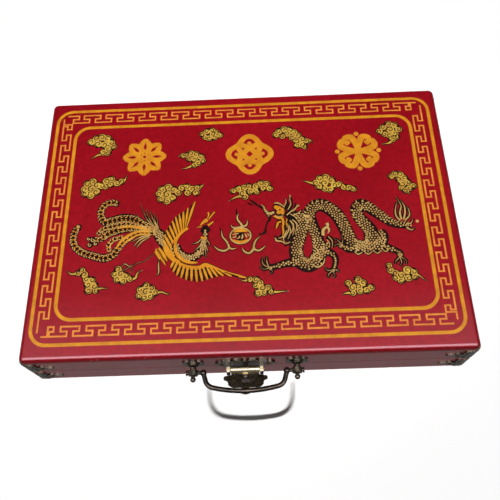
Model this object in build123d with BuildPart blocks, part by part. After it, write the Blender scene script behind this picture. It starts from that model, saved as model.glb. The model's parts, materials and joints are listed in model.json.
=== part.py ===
"""A flat carrying case for a game of tiles: a red lacquered wooden box whose lid is hinged at the
back, with a bronze bail handle and a hasp at the front, and four lift-out tile trays inside.

Millimetres. The origin is the middle of the underside, +X runs along the front, +Y from the handle
to the hinges and +Z up. Metalwork on a face is sized by how far it stands out from that face.
"""

import os
from math import asin, cos, sin, sqrt

from build123d import *

# ---- the box ----
case_width = 240.0
case_depth = 167.0
base_height = 17.7  # underside to seam
lid_height = 17.7  # lid's lower edge to its top
seam_gap = 0.4  # shadow line between lid and base
panel_thickness = 3.6
wall_thickness = 5.0
corner_radius = 3.4  # upright corners
top_edge_radius = 3.0
bottom_edge_radius = 1.0
lining_thickness = 0.8
lining_clearance = 0.3

# ---- tile trays ----
tray_wall = 1.6
tray_floor = 1.6
tray_height = 12.4
tray_clearance = 0.5  # to the case walls and between front and back trays
tray_channel = 16.0  # between left and right trays, for fingers and dice
tray_corner_radius = 1.5

# ---- nails ----
nail_radius = 0.6
nail_length = 3.6
nail_head_radius = 1.25
nail_head_height = 0.8
nail_clearance = 0.06

# ---- hinges at the back ----
hinge_spacing = 140.0
hinge_width = 22.0
hinge_leaf_height = 11.5
hinge_leaf_thickness = 0.9
hinge_leaf_radius = 1.5
hinge_knuckle_radius = 1.7
hinge_stand_off = 0.2  # knuckle to the case's back
hinge_knuckle_gap = 0.35
hinge_pin_radius = 0.8
hinge_pin_clearance = 0.05
hinge_nail_spacing = 14.0
hinge_nail_offset = 7.4  # from the seam line

# ---- corner brackets, a lid set and a base set ----
bracket_thickness = 0.7
bracket_leg = 16.5  # from the case's corner along each face
bracket_height = 12.0
bracket_band = 5.6  # full-height part beside the corner
bracket_nail_offset = 10.2  # from the corner, along the face
bracket_eye_radius = 2.6
bracket_tip_radius = 1.1
bracket_piercing_radius = 0.9
bracket_lobe_radius = 2.3
bracket_face_gap = 0.05

# ---- handle ----
fittings_x = -2.0  # the metal fittings sit a little left of the middle
handle_spacing = 54.8  # post to post
handle_rise = 7.3  # posts' height above the base's rim
handle_level = base_height + handle_rise
pivot_out = 5.5
rosette_radius = 6.2
rosette_petals = 6
rosette_petal_radius = 2.5
rosette_petal_thickness = 0.7
rosette_thickness = 1.1  # at the raised middle
post_shank_radius = 1.5
post_shank_clearance = 0.1
post_flange_radius = 3.0
post_flange_height = 1.5
post_neck_radius = 1.6
post_barrel_radius = 2.6
post_barrel_length = 2.8
post_barrel_shoulder = 0.6
finial_neck_radius = 0.9
finial_radius = 1.5
post_length = 10.4
nut_across_flats = 5.5
nut_thickness = 2.4
nut_clearance = 0.1
shank_past_nut = 0.5
bail_radius = 1.3
bail_half_width = 22.0
bail_out = 15.5  # centre line's furthest point from the case
bail_arm_tilt = 15.0  # degrees inwards
bail_arm_length = 4.5
bail_corner_radius = 5.0
bail_crown_angle = 14.0  # slope where the corner meets the crown
bail_bead_radius = 1.9
bail_bead_length = 2.2
bail_collar_radius = 1.6  # either side of the bead
bail_eye_radius = 1.75
bail_pin_radius = 0.95
bail_pin_clearance = 0.08
bail_button_radius = 1.45
bail_button_thickness = 0.8
bail_button_gap = 0.4

# ---- hasp ----
hasp_axis_out = 3.8
hasp_axis_above_seam = 4.8
hasp_plate_thickness = 1.0
hasp_plate_half_width = 16.0
hasp_plate_rise = 10.2
hasp_plate_above_seam = 0.5
hasp_nail_offset = 12.6  # from the hasp's middle
hasp_nail_rise = 4.6
ear_offset = 8.8
ear_thickness = 1.8
ear_radius = 2.2
ear_length = 3.0  # straight part past the axis
barrel_radius = 1.5
barrel_gap = 0.35
barrel_pin_radius = 0.65
barrel_pin_clearance = 0.05
flap_thickness = 1.0
flap_length = 11.0  # axis to tip
flap_angle = 45.0  # below level, as it stands open
wing_start = 4.2  # from the axis
flap_wing_half_width = 11.8
flap_end_half_width = 9.6
slot_inner = 5.7  # from the axis
slot_outer = 8.3
slot_half_width = 2.1
stud_distance = 3.5  # from the axis
stud_hole_radius = 0.8
stud_rivet_height = 0.5
stud_radius = 1.5
stud_collar_radius = 1.9
stud_collar_height = 0.6
stud_height = 2.2
catch_half_width = 9.5
catch_height = 9.0
catch_below_seam = 0.4
catch_nail_offset = 6.6
catch_nail_drop = 5.2
lug_below_seam = 1.5
lug_half_width = 1.6
lug_thickness = 1.2
lug_out = 6.7
lug_hole_radius = 0.8

# ---- worked out from the above ----
half_width = case_width / 2
front_y = -case_depth / 2
back_y = case_depth / 2
lid_bottom = base_height + seam_gap
case_height = lid_bottom + lid_height
lid_ceiling = case_height - panel_thickness
inner_width = case_width - 2 * wall_thickness
inner_depth = case_depth - 2 * wall_thickness
hinge_axis_y = back_y + hinge_stand_off + hinge_knuckle_radius
hinge_axis_z = base_height + seam_gap / 2
hasp_axis_z = lid_bottom + hasp_axis_above_seam
hasp_axis_y = front_y - hasp_axis_out
lug_z = base_height - lug_below_seam
bail_axis_y = front_y - pivot_out

LEFT, RIGHT = -1, 1
FRONT, BACK = -1, 1
sides = {"left": LEFT, "right": RIGHT}
ends = {"front": FRONT, "back": BACK}

os.makedirs("parts", exist_ok=True)


def save(piece, name):
    """Label a finished piece and write it as its own node."""
    piece.part.label = name
    export_step(piece.part, f"parts/{name}.step")


def face_plane(end, x=0.0, z=0.0):
    """Plane on the front or back face, its X along the face and its Z pointing out of the case."""
    return Plane(origin=(x, end * case_depth / 2, z), x_dir=(-end, 0, 0), z_dir=(0, end, 0))


def side_plane(side, y=0.0, z=0.0):
    """Plane on the left or right face, its Z pointing out of the case."""
    return Plane(origin=(side * half_width, y, z), x_dir=(0, side, 0), z_dir=(side, 0, 0))


# ---- where the nails go: a plane on the wood for each nail ----
def bracket_nails(level):
    """Two nails for each corner bracket: one in the front or back, one in the side."""
    along_x = half_width - bracket_nail_offset
    along_y = case_depth / 2 - bracket_nail_offset
    spots = []
    for side in sides.values():
        for end in ends.values():
            spots.append(face_plane(end, side * along_x, level))
            spots.append(side_plane(side, end * along_y, level))
    return spots


def hinge_nails(level):
    """Two nails for each hinge leaf."""
    return [
        face_plane(BACK, side * hinge_spacing / 2 + shift * hinge_nail_spacing / 2, level)
        for side in sides.values()
        for shift in (-1, 1)
    ]


base_bracket_level = base_height / 2
lid_bracket_level = lid_bottom + (lid_height - top_edge_radius) / 2
base_bracket_nails = bracket_nails(base_bracket_level)
lid_bracket_nails = bracket_nails(lid_bracket_level)
base_hinge_nails = hinge_nails(hinge_axis_z - hinge_nail_offset)
lid_hinge_nails = hinge_nails(hinge_axis_z + hinge_nail_offset)
catch_nails = [
    face_plane(FRONT, fittings_x + shift * catch_nail_offset, base_height - catch_below_seam - catch_nail_drop)
    for shift in (-1, 1)
]
hasp_nails = [
    face_plane(FRONT, fittings_x + shift * hasp_nail_offset, lid_bottom + hasp_plate_above_seam + hasp_nail_rise)
    for shift in (-1, 1)
]
post_planes = {
    name: face_plane(FRONT, fittings_x + side * handle_spacing / 2, handle_level)
    for name, side in sides.items()
}


def pilot_holes(spots):
    """Cut the nails' pilot holes into the wood of the part being built."""
    with Locations(*[Location(spot) for spot in spots]):
        Cylinder(
            nail_radius + nail_clearance,
            2 * (nail_length + nail_clearance),
            mode=Mode.SUBTRACT,
        )


def turned(outline):
    """A solid turned about Z from (radius, height) points, top first, closed by a round cap."""
    rim, top = outline[-1], outline[0]
    rise = top[1] - rim[1]
    ball = (rim[0] ** 2 + rise**2) / (2 * rise)
    lean = asin(rim[0] / ball) / 2
    with BuildPart() as solid:
        with BuildSketch(Plane.XZ):
            with BuildLine():
                Polyline(*outline)
                ThreePointArc(rim, (ball * sin(lean), top[1] - ball * (1 - cos(lean))), top)
            make_face()
        revolve(axis=Axis.Z)
    return solid.part


def nail_set(spots, metal, name):
    """Domed nails whose heads sit on metal of that thickness, as one group of solids."""
    tip = metal - nail_length
    nail = turned(
        [
            (0, metal + nail_head_height),
            (0, tip),
            (nail_radius, tip + nail_radius),
            (nail_radius, metal),
            (nail_head_radius, metal),
        ]
    )
    with BuildPart() as nails:
        with Locations(*[Location(spot) for spot in spots]):
            add(nail)
    save(nails, name)


# ---- the wooden box ----
def panel(name, underside, top_radius, bottom_radius):
    """A full-size top or bottom board with rounded upright corners and eased outer edges."""
    with BuildPart() as board:
        with BuildSketch(Plane.XY.offset(underside)):
            RectangleRounded(case_width, case_depth, corner_radius)
        extrude(amount=panel_thickness)
        if top_radius:
            fillet(board.faces().sort_by(Axis.Z)[-1].edges(), top_radius)
        if bottom_radius:
            fillet(board.faces().sort_by(Axis.Z)[0].edges(), bottom_radius)
    save(board, name)


def long_rail(name, end, bottom, top, nails, posts=()):
    """Front or back wall, running the whole width, with its outer upright edges rounded."""
    with BuildPart() as rail:
        with BuildSketch(Plane.XY.offset(bottom)):
            with Locations((0, end * (case_depth - wall_thickness) / 2)):
                Rectangle(case_width, wall_thickness)
        extrude(amount=top - bottom)
        outer = rail.edges().filter_by(Axis.Z).sort_by(Axis.Y)
        fillet(outer[:2] if end == FRONT else outer[-2:], corner_radius)
        pilot_holes(nails)
        for post in posts:
            with Locations(Location(post)):
                Cylinder(
                    post_shank_radius + post_shank_clearance,
                    3 * wall_thickness,
                    mode=Mode.SUBTRACT,
                )
    save(rail, name)


def short_rail(name, side, bottom, top, nails):
    """Left or right wall, fitted between the long rails."""
    with BuildPart() as rail:
        with BuildSketch(Plane.XY.offset(bottom)):
            with Locations((side * (case_width - wall_thickness) / 2, 0)):
                Rectangle(wall_thickness, inner_depth)
        extrude(amount=top - bottom)
        pilot_holes(nails)
    save(rail, name)


def lining(name, bottom):
    """Flocked card glued inside a panel."""
    with BuildPart() as card:
        with BuildSketch(Plane.XY.offset(bottom)):
            Rectangle(inner_width - 2 * lining_clearance, inner_depth - 2 * lining_clearance)
        extrude(amount=lining_thickness)
    save(card, name)


def build_box():
    """Base and lid: two panels, eight rails and two linings."""
    panel("base_bottom_panel", 0, 0, bottom_edge_radius)
    panel("lid_top_panel", lid_ceiling, top_edge_radius, 0)
    lining("base_lining", panel_thickness)
    lining("lid_lining", lid_ceiling - lining_thickness)
    base_nails = {FRONT: base_bracket_nails + catch_nails, BACK: base_bracket_nails + base_hinge_nails}
    lid_nails = {FRONT: lid_bracket_nails + hasp_nails, BACK: lid_bracket_nails + lid_hinge_nails}
    for place, end in ends.items():
        long_rail(f"base_{place}_rail", end, panel_thickness, base_height, base_nails[end])
        posts = post_planes.values() if end == FRONT else ()
        long_rail(f"lid_{place}_rail", end, lid_bottom, lid_ceiling, lid_nails[end], posts)
    for place, side in sides.items():
        short_rail(f"base_{place}_rail", side, panel_thickness, base_height, base_bracket_nails)
        short_rail(f"lid_{place}_rail", side, lid_bottom, lid_ceiling, lid_bracket_nails)


# ---- tile trays ----
tray_width = (inner_width - tray_channel) / 2 - tray_clearance
tray_depth = (inner_depth - 3 * tray_clearance) / 2
tray_bottom = panel_thickness + lining_thickness
tray_x = (tray_channel + tray_width) / 2
tray_y = (tray_clearance + tray_depth) / 2


def tile_tray(name, x, y):
    """An open tray that lifts straight out."""
    with BuildPart() as tray:
        with BuildSketch(Plane.XY.offset(tray_bottom)):
            with Locations((x, y)):
                RectangleRounded(tray_width, tray_depth, tray_corner_radius)
        extrude(amount=tray_height)
        with BuildSketch(Plane.XY.offset(tray_bottom + tray_floor)):
            with Locations((x, y)):
                Rectangle(tray_width - 2 * tray_wall, tray_depth - 2 * tray_wall)
        extrude(amount=tray_height - tray_floor, mode=Mode.SUBTRACT)
    save(tray, name)


def build_trays():
    """The four trays, named by the corner they sit in."""
    for place, end in ends.items():
        for hand, side in sides.items():
            tile_tray(f"tile_tray_{place}_{hand}", side * tray_x, end * tray_y)


# ---- hinges ----
def hinge_leaf(name, x, up):
    """A leaf nailed to the back, with its knuckles: the outer two below, the middle one above."""
    half_gap = hinge_knuckle_gap / 2
    inner = hinge_width / 6 - half_gap
    outer = hinge_width / 6 + half_gap
    if up:
        own = [(-inner, inner)]
        other = [(-hinge_width, -inner), (inner, hinge_width)]
    else:
        own = [(-hinge_width / 2, -outer), (outer, hinge_width / 2)]
        other = [(-outer, outer)]
    middle = hinge_axis_z + (1 if up else -1) * hinge_leaf_height / 2
    with BuildPart() as leaf:
        with BuildSketch(face_plane(BACK, x, middle)):
            Rectangle(hinge_width, hinge_leaf_height)
        extrude(amount=hinge_leaf_thickness)
        rim = leaf.edges().filter_by(Axis.Y).sort_by(Axis.Z)
        fillet(rim[-2:] if up else rim[:2], hinge_leaf_radius)
        for start, stop in other:
            with BuildSketch(Plane.YZ.offset(x + start)):
                with Locations((hinge_axis_y, hinge_axis_z)):
                    Circle(hinge_knuckle_radius + hinge_knuckle_gap)
            extrude(amount=stop - start, mode=Mode.SUBTRACT)
        for start, stop in own:
            with BuildSketch(Plane.YZ.offset(x + start)):
                with Locations((hinge_axis_y, hinge_axis_z)):
                    Circle(hinge_knuckle_radius)
            extrude(amount=stop - start)
        with BuildSketch(Plane.YZ.offset(x - hinge_width)):
            with Locations((hinge_axis_y, hinge_axis_z)):
                Circle(hinge_pin_radius + hinge_pin_clearance)
        extrude(amount=2 * hinge_width, mode=Mode.SUBTRACT)
        pilot_holes(lid_hinge_nails if up else base_hinge_nails)
    save(leaf, name)


def hinge_pin(name, x):
    """The pin, riveted over at both ends so that it can't drop out."""
    half = hinge_width / 2 + hinge_pin_clearance
    with BuildPart() as pin:
        with BuildSketch(Plane.YZ.offset(x - half)):
            with Locations((hinge_axis_y, hinge_axis_z)):
                Circle(hinge_pin_radius)
        extrude(amount=2 * half)
        for away in (-1, 1):
            tip = Plane(origin=(x + away * half, hinge_axis_y, hinge_axis_z), z_dir=(away, 0, 0))
            with BuildSketch(tip):
                Circle(hinge_pin_radius * 1.5)
            extrude(amount=hinge_pin_radius * 0.6, taper=20)
    save(pin, name)


def build_hinges():
    """Two three-knuckle butt hinges with their pins and nails."""
    for place, side in sides.items():
        x = side * hinge_spacing / 2
        hinge_leaf(f"hinge_base_leaf_{place}", x, up=False)
        hinge_leaf(f"hinge_lid_leaf_{place}", x, up=True)
        hinge_pin(f"hinge_pin_{place}", x)
    nail_set(base_hinge_nails, hinge_leaf_thickness, "hinge_base_nails")
    nail_set(lid_hinge_nails, hinge_leaf_thickness, "hinge_lid_nails")


# ---- corner brackets ----
def bracket_leg_outline():
    """One pierced leg, laid out from the upright corner towards the sketch's +X."""
    scroll = bracket_height / 2 - bracket_lobe_radius
    with Locations(((corner_radius + bracket_band) / 2, 0)):
        Rectangle(bracket_band - corner_radius, bracket_height)
    with Locations((bracket_band, scroll), (bracket_band, -scroll)):
        Circle(bracket_lobe_radius)
    with Locations(((bracket_band + bracket_nail_offset) / 2, 0)):
        Rectangle(bracket_nail_offset - bracket_band, bracket_lobe_radius)
    with Locations((bracket_nail_offset, 0)):
        Circle(bracket_eye_radius)
    shoulder = bracket_leg - bracket_tip_radius
    Polygon(
        (bracket_nail_offset, bracket_eye_radius * 0.9),
        (bracket_nail_offset, -bracket_eye_radius * 0.9),
        (shoulder, -bracket_tip_radius * 0.7),
        (bracket_leg, 0),
        (shoulder, bracket_tip_radius * 0.7),
        align=None,
    )
    with Locations((bracket_band + bracket_piercing_radius / 2, scroll)):
        Circle(bracket_piercing_radius, mode=Mode.SUBTRACT)
    with Locations((bracket_band + bracket_piercing_radius / 2, -scroll)):
        Circle(bracket_piercing_radius, mode=Mode.SUBTRACT)
    with Locations((bracket_band, 0)):
        Ellipse(bracket_piercing_radius * 1.4, bracket_piercing_radius * 0.8, mode=Mode.SUBTRACT)


def corner_bracket(name, side, end, level, nails):
    """A pierced bronze bracket wrapped round one upright corner of the lid or the base."""
    corner_x = side * half_width
    corner_y = end * case_depth / 2
    stand = bracket_face_gap + bracket_thickness
    # sketch X runs from the corner along the face, whichever way the sketch's normal points
    front = Plane(origin=(corner_x, corner_y, level), x_dir=(-side, 0, 0), z_dir=(0, end, 0))
    flank = Plane(origin=(corner_x, corner_y, level), x_dir=(0, -end, 0), z_dir=(side, 0, 0))
    with BuildPart() as bracket:
        with BuildSketch(Plane.XY.offset(level - bracket_height / 2)):
            RectangleRounded(case_width + 2 * stand, case_depth + 2 * stand, corner_radius + stand)
            RectangleRounded(
                case_width + 2 * bracket_face_gap,
                case_depth + 2 * bracket_face_gap,
                corner_radius + bracket_face_gap,
                mode=Mode.SUBTRACT,
            )
            with Locations((corner_x, corner_y)):
                Rectangle(2 * corner_radius, 2 * corner_radius, mode=Mode.INTERSECT)
        extrude(amount=bracket_height)
        with BuildSketch(front.offset(bracket_face_gap)):
            bracket_leg_outline()
        extrude(amount=bracket_thickness)
        with BuildSketch(flank.offset(bracket_face_gap)):
            bracket_leg_outline()
        extrude(amount=bracket_thickness)
        pilot_holes(nails)
    save(bracket, name)


def build_brackets():
    """Eight corner brackets with their nails."""
    for half, level, nails in (
        ("base", base_bracket_level, base_bracket_nails),
        ("lid", lid_bracket_level, lid_bracket_nails),
    ):
        for place, end in ends.items():
            for hand, side in sides.items():
                corner_bracket(f"corner_bracket_{half}_{place}_{hand}", side, end, level, nails)
        nail_set(nails, bracket_thickness + bracket_face_gap, f"corner_nails_{half}")


# ---- handle ----
def handle_rosette(name, plane):
    """A petalled plate with a raised middle, between the post and the wood."""
    ring = rosette_radius - rosette_petal_radius
    with BuildPart() as rosette:
        with BuildSketch(plane):
            Circle(ring)
            with PolarLocations(ring, rosette_petals, start_angle=90):
                Circle(rosette_petal_radius)
        extrude(amount=rosette_petal_thickness)
        with BuildSketch(plane):
            Circle(ring)
        extrude(amount=rosette_thickness)
        with BuildSketch(plane):
            Circle(post_shank_radius + post_shank_clearance)
        extrude(amount=rosette_thickness, mode=Mode.SUBTRACT)
    save(rosette, name)


def handle_post(name, plane):
    """A turned post: threaded shank, flange, barrel bored for the bail's pin, and finial."""
    shank_end = wall_thickness + nut_clearance + nut_thickness + shank_past_nut
    flange_top = rosette_thickness + post_flange_height
    barrel_back = pivot_out - post_barrel_length / 2
    barrel_front = pivot_out + post_barrel_length / 2
    finial_middle = post_length - finial_radius
    finial_back = finial_middle - sqrt(finial_radius**2 - finial_neck_radius**2)
    with BuildPart() as post:
        with BuildSketch(Plane(origin=plane.origin, x_dir=plane.y_dir, z_dir=-plane.x_dir)):
            # sketch Y runs into the wood
            with BuildLine():
                Polyline(
                    (0, -post_length),
                    (0, shank_end),
                    (post_shank_radius, shank_end),
                    (post_shank_radius, -rosette_thickness),
                    (post_flange_radius, -rosette_thickness),
                    (post_flange_radius, -(rosette_thickness + flange_top) / 2),
                    (post_neck_radius, -flange_top),
                    (post_neck_radius, -barrel_back + post_barrel_shoulder),
                    (post_barrel_radius, -barrel_back),
                    (post_barrel_radius, -barrel_front),
                    (finial_neck_radius, -barrel_front - post_barrel_shoulder),
                    (finial_neck_radius, -finial_back),
                )
                ThreePointArc(
                    (finial_neck_radius, -finial_back),
                    (finial_radius, -finial_middle),
                    (0, -post_length),
                )
            make_face()
        revolve(axis=Axis(plane.origin, plane.z_dir))
        with BuildSketch(Plane.YZ.offset(plane.origin.X - 2 * post_barrel_radius)):
            with Locations((bail_axis_y, handle_level)):
                Circle(bail_pin_radius + bail_pin_clearance)
        extrude(amount=4 * post_barrel_radius, mode=Mode.SUBTRACT)
    save(post, name)


def handle_nuts():
    """The two nuts inside the lid, as one group of solids."""
    with BuildPart() as nuts:
        for plane in post_planes.values():
            with BuildSketch(plane.offset(-wall_thickness - nut_clearance - nut_thickness)):
                RegularPolygon(nut_across_flats / 2, 6, major_radius=False)
                Circle(post_shank_radius + post_shank_clearance / 2, mode=Mode.SUBTRACT)
            extrude(amount=nut_thickness)
    save(nuts, "handle_nuts")


def bail_shape():
    """The bent rod with its bead and headed pins, flat about the pivots' middle, crown at +Y."""
    reach = bail_out - pivot_out
    tilt = 90 - bail_arm_tilt
    turning = bail_crown_angle - tilt
    pin_length = handle_spacing / 2 + post_barrel_radius + bail_button_gap - bail_half_width
    with BuildPart() as rod:
        with BuildLine() as path:
            arm = PolarLine((-bail_half_width, 0), bail_arm_length, tilt)
            turn = JernArc(arm @ 1, arm % 1, bail_corner_radius, turning)
            crown = ThreePointArc(turn @ 1, (0, reach), (-(turn @ 1).X, (turn @ 1).Y))
            falling = ((turn % 1).X, -(turn % 1).Y)
            far_turn = JernArc(crown @ 1, falling, bail_corner_radius, turning)
            Line(far_turn @ 1, (bail_half_width, 0))
        with BuildSketch(Plane(origin=arm @ 0, z_dir=arm % 0)):
            Circle(bail_radius)
        sweep(path=path.wire())
        with Locations((0, reach, 0)):
            Cylinder(bail_bead_radius, bail_bead_length, rotation=(0, 90, 0))
            Cylinder(bail_collar_radius, 2 * bail_bead_length, rotation=(0, 90, 0))
        for side in sides.values():
            with Locations((side * bail_half_width, 0, 0)):
                Sphere(bail_eye_radius)
            eye = Plane(origin=(side * bail_half_width, 0, 0), z_dir=(side, 0, 0))
            with BuildSketch(eye):
                Circle(bail_pin_radius)
            extrude(amount=pin_length)
            with BuildSketch(eye.offset(pin_length)):
                Circle(bail_button_radius)
            extrude(amount=bail_button_thickness)
    return rod.part


def bail():
    """The swinging handle, standing straight out from the lid."""
    level = Plane(origin=(fittings_x, bail_axis_y, handle_level), x_dir=(1, 0, 0), z_dir=(0, 0, -1))
    with BuildPart() as handle:
        with Locations(Location(level)):
            add(bail_shape())
    save(handle, "bail")


def build_handle():
    """Bail, its two posts with rosettes, and the nuts inside the lid."""
    for name, plane in post_planes.items():
        handle_rosette(f"handle_rosette_{name}", plane)
        handle_post(f"handle_post_{name}", plane)
    handle_nuts()
    bail()


# ---- hasp ----
hasp_nails_level = hasp_nails[0].origin.Z
ear_inner = ear_offset - ear_thickness / 2
barrel_half_length = ear_inner - barrel_gap


def hasp_plate():
    """Plate on the lid with a domed, lobed outline and two ears that carry the flap's pin."""
    bottom = lid_bottom + hasp_plate_above_seam
    top = bottom + hasp_plate_rise
    lobe = hasp_plate_rise / 2 - 1
    with BuildPart() as plate:
        with BuildSketch(face_plane(FRONT, fittings_x, 0)):
            with Locations((0, (bottom + top) / 2)):
                RectangleRounded(2 * hasp_nail_offset, hasp_plate_rise, 1.5)
            with Locations((hasp_nail_offset, hasp_nails_level), (-hasp_nail_offset, hasp_nails_level)):
                Circle(hasp_plate_half_width - hasp_nail_offset)
            with Locations((lobe, top - lobe / 2), (-lobe, top - lobe / 2)):
                Circle(lobe)
        extrude(amount=hasp_plate_thickness)
        for side in sides.values():
            with BuildSketch(Plane.YZ.offset(fittings_x + side * ear_offset - ear_thickness / 2)):
                with Locations((hasp_axis_y - ear_length + ear_radius, hasp_axis_z)):
                    Circle(ear_radius)
                with Locations(((front_y + hasp_axis_y - ear_length + ear_radius) / 2, hasp_axis_z)):
                    Rectangle(hasp_axis_out + ear_length - ear_radius, 2 * ear_radius)
                with Locations((hasp_axis_y, hasp_axis_z)):
                    Circle(barrel_pin_radius + barrel_pin_clearance, mode=Mode.SUBTRACT)
            extrude(amount=ear_thickness)
        pilot_holes(hasp_nails)
    save(plate, "hasp_plate")


def hasp_pin():
    """Pin through both ears and the flap's barrel, riveted over outside the ears."""
    half = ear_offset + ear_thickness / 2 + barrel_pin_clearance
    with BuildPart() as pin:
        for side in sides.values():
            middle = Plane(origin=(fittings_x, hasp_axis_y, hasp_axis_z), z_dir=(side, 0, 0))
            with BuildSketch(middle):
                Circle(barrel_pin_radius)
            extrude(amount=half)
            with BuildSketch(middle.offset(half)):
                Circle(barrel_pin_radius * 1.6)
            extrude(amount=barrel_pin_radius * 0.7, taper=20)
    save(pin, "hasp_pin")


def hasp_flap():
    """The swinging flap as it stands in the open position, with its slot and stud."""
    axis_plane = Plane(origin=(fittings_x, hasp_axis_y, hasp_axis_z), x_dir=(1, 0, 0), z_dir=(0, 0, 1))
    # sketch Y runs from the flap's tip back to its axis
    flat = axis_plane.rotated((flap_angle, 0, 0))
    back = flap_thickness / 2
    with BuildPart() as flap:
        with BuildSketch(flat.offset(-back)) as outline:
            with BuildLine():
                Polyline(
                    (0, 0),
                    (-barrel_half_length, 0),
                    (-barrel_half_length, -wing_start + 0.6),
                    (-flap_wing_half_width + 1, -wing_start),
                )
                ThreePointArc(
                    (-flap_wing_half_width + 1, -wing_start),
                    (-flap_wing_half_width, -wing_start - 1.1),
                    (-flap_wing_half_width + 0.9, -wing_start - 2.1),
                )
                ThreePointArc(
                    (-flap_wing_half_width + 0.9, -wing_start - 2.1),
                    (-flap_end_half_width - 0.1, -wing_start - 3.1),
                    (-flap_end_half_width, -wing_start - 4.6),
                )
                ThreePointArc(
                    (-flap_end_half_width, -wing_start - 4.6),
                    (-flap_end_half_width + 1.5, -flap_length + 0.6),
                    (-flap_end_half_width + 4, -flap_length),
                )
                Polyline((-flap_end_half_width + 4, -flap_length), (0, -flap_length), (0, 0))
            make_face()
            mirror(about=Plane.YZ)
            with Locations((0, -(slot_inner + slot_outer) / 2)):
                RectangleRounded(2 * slot_half_width, slot_outer - slot_inner, 0.8, mode=Mode.SUBTRACT)
        extrude(amount=flap_thickness)
        with BuildSketch(Plane.YZ.offset(fittings_x - barrel_half_length)):
            with Locations((hasp_axis_y, hasp_axis_z)):
                Circle(barrel_radius)
        extrude(amount=2 * barrel_half_length)
        with BuildSketch(Plane.YZ.offset(fittings_x - 2 * barrel_half_length)):
            with Locations((hasp_axis_y, hasp_axis_z)):
                Circle(barrel_pin_radius + barrel_pin_clearance)
        extrude(amount=4 * barrel_half_length, mode=Mode.SUBTRACT)
        with BuildSketch(flat.offset(back)):
            with Locations((0, -stud_distance)):
                Circle(stud_hole_radius)
        extrude(amount=-2 * flap_thickness, mode=Mode.SUBTRACT)
    save(flap, "hasp_flap")


def hasp_stud():
    """Turned stud riveted through the flap, for pushing it open."""
    axis_plane = Plane(origin=(fittings_x, hasp_axis_y, hasp_axis_z), x_dir=(1, 0, 0), z_dir=(0, 0, 1))
    flat = axis_plane.rotated((flap_angle, 0, 0))
    foot = -flap_thickness / 2 - stud_rivet_height
    face = flap_thickness / 2
    collar = face + stud_collar_height
    stud = turned(
        [
            (0, face + stud_height),
            (0, foot),
            (stud_collar_radius * 0.7, foot),
            (stud_collar_radius * 0.7, -face),
            (stud_hole_radius, -face),
            (stud_hole_radius, face),
            (stud_collar_radius, face),
            (stud_collar_radius, collar),
            (stud_radius, collar),
        ]
    )
    with BuildPart() as finished:
        with Locations(Location(flat) * Location((0, -stud_distance, 0))):
            add(stud)
    save(finished, "hasp_stud")


def catch_plate():
    """Plate on the base with the bored lug that enters the flap's slot when it is shut."""
    top = base_height - catch_below_seam
    with BuildPart() as plate:
        with BuildSketch(face_plane(FRONT, fittings_x, top - catch_height / 2)):
            RectangleRounded(2 * catch_half_width, catch_height, 2.0)
            with Locations((0, -catch_height / 2)):
                Circle(2.4)
        extrude(amount=hasp_plate_thickness)
        with BuildSketch(Plane.XY.offset(lug_z - lug_thickness / 2)):
            with Locations((fittings_x, front_y - lug_out + lug_half_width)):
                Circle(lug_half_width)
            with Locations((fittings_x, front_y - (lug_out - lug_half_width) / 2)):
                Rectangle(2 * lug_half_width, lug_out - lug_half_width)
            with Locations((fittings_x, front_y - lug_out + lug_half_width)):
                Circle(lug_hole_radius, mode=Mode.SUBTRACT)
        extrude(amount=lug_thickness)
        pilot_holes(catch_nails)
    save(plate, "catch_plate")


def build_hasp():
    """Lid plate, flap, pin and stud; base plate; and the nails of both plates."""
    hasp_plate()
    hasp_pin()
    hasp_flap()
    hasp_stud()
    catch_plate()
    nail_set(hasp_nails, hasp_plate_thickness, "hasp_nails")
    nail_set(catch_nails, hasp_plate_thickness, "catch_nails")


build_box()
build_trays()
build_hinges()
build_brackets()
build_handle()
build_hasp()
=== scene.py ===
import json
import math

import bmesh
import bpy
from mathutils import Matrix, Vector, noise


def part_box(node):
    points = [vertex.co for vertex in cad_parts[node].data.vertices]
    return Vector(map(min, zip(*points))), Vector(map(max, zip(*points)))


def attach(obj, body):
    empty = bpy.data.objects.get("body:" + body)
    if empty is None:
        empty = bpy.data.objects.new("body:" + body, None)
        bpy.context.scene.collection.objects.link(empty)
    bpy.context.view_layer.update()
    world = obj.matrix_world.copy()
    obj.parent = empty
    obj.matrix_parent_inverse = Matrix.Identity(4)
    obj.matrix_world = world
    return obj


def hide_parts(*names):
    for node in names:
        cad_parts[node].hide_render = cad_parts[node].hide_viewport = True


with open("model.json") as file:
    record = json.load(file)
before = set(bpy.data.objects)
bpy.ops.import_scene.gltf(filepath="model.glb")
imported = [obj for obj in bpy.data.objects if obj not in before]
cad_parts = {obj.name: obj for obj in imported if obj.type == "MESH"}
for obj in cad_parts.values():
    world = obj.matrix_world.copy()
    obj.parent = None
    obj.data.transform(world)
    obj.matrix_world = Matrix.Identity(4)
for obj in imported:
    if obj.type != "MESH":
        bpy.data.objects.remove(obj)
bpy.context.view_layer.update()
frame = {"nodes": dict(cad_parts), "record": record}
mm = 0.001


def colour(code):
    # sRGB hex to the linear colour a shader takes
    parts = [int(code[i:i + 2], 16) / 255 for i in (1, 3, 5)]
    return [p / 12.92 if p <= 0.04045 else ((p + 0.055) / 1.055) ** 2.4 for p in parts] + [1]


def fill(tree, node, inputs):
    # an input takes a value, a socket or another node's first output
    for name, value in inputs.items():
        if isinstance(value, bpy.types.Node):
            value = value.outputs[0]
        if isinstance(value, bpy.types.NodeSocket):
            tree.links.new(value, node.inputs[name])
        else:
            node.inputs[name].default_value = value


def addNode(tree, kind, inputs, **settings):
    # a shader node with its settings, its input values and its links
    node = tree.nodes.new("ShaderNode" + kind)
    for name, value in settings.items():
        setattr(node, name, value)
    fill(tree, node, inputs)
    return node


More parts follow.
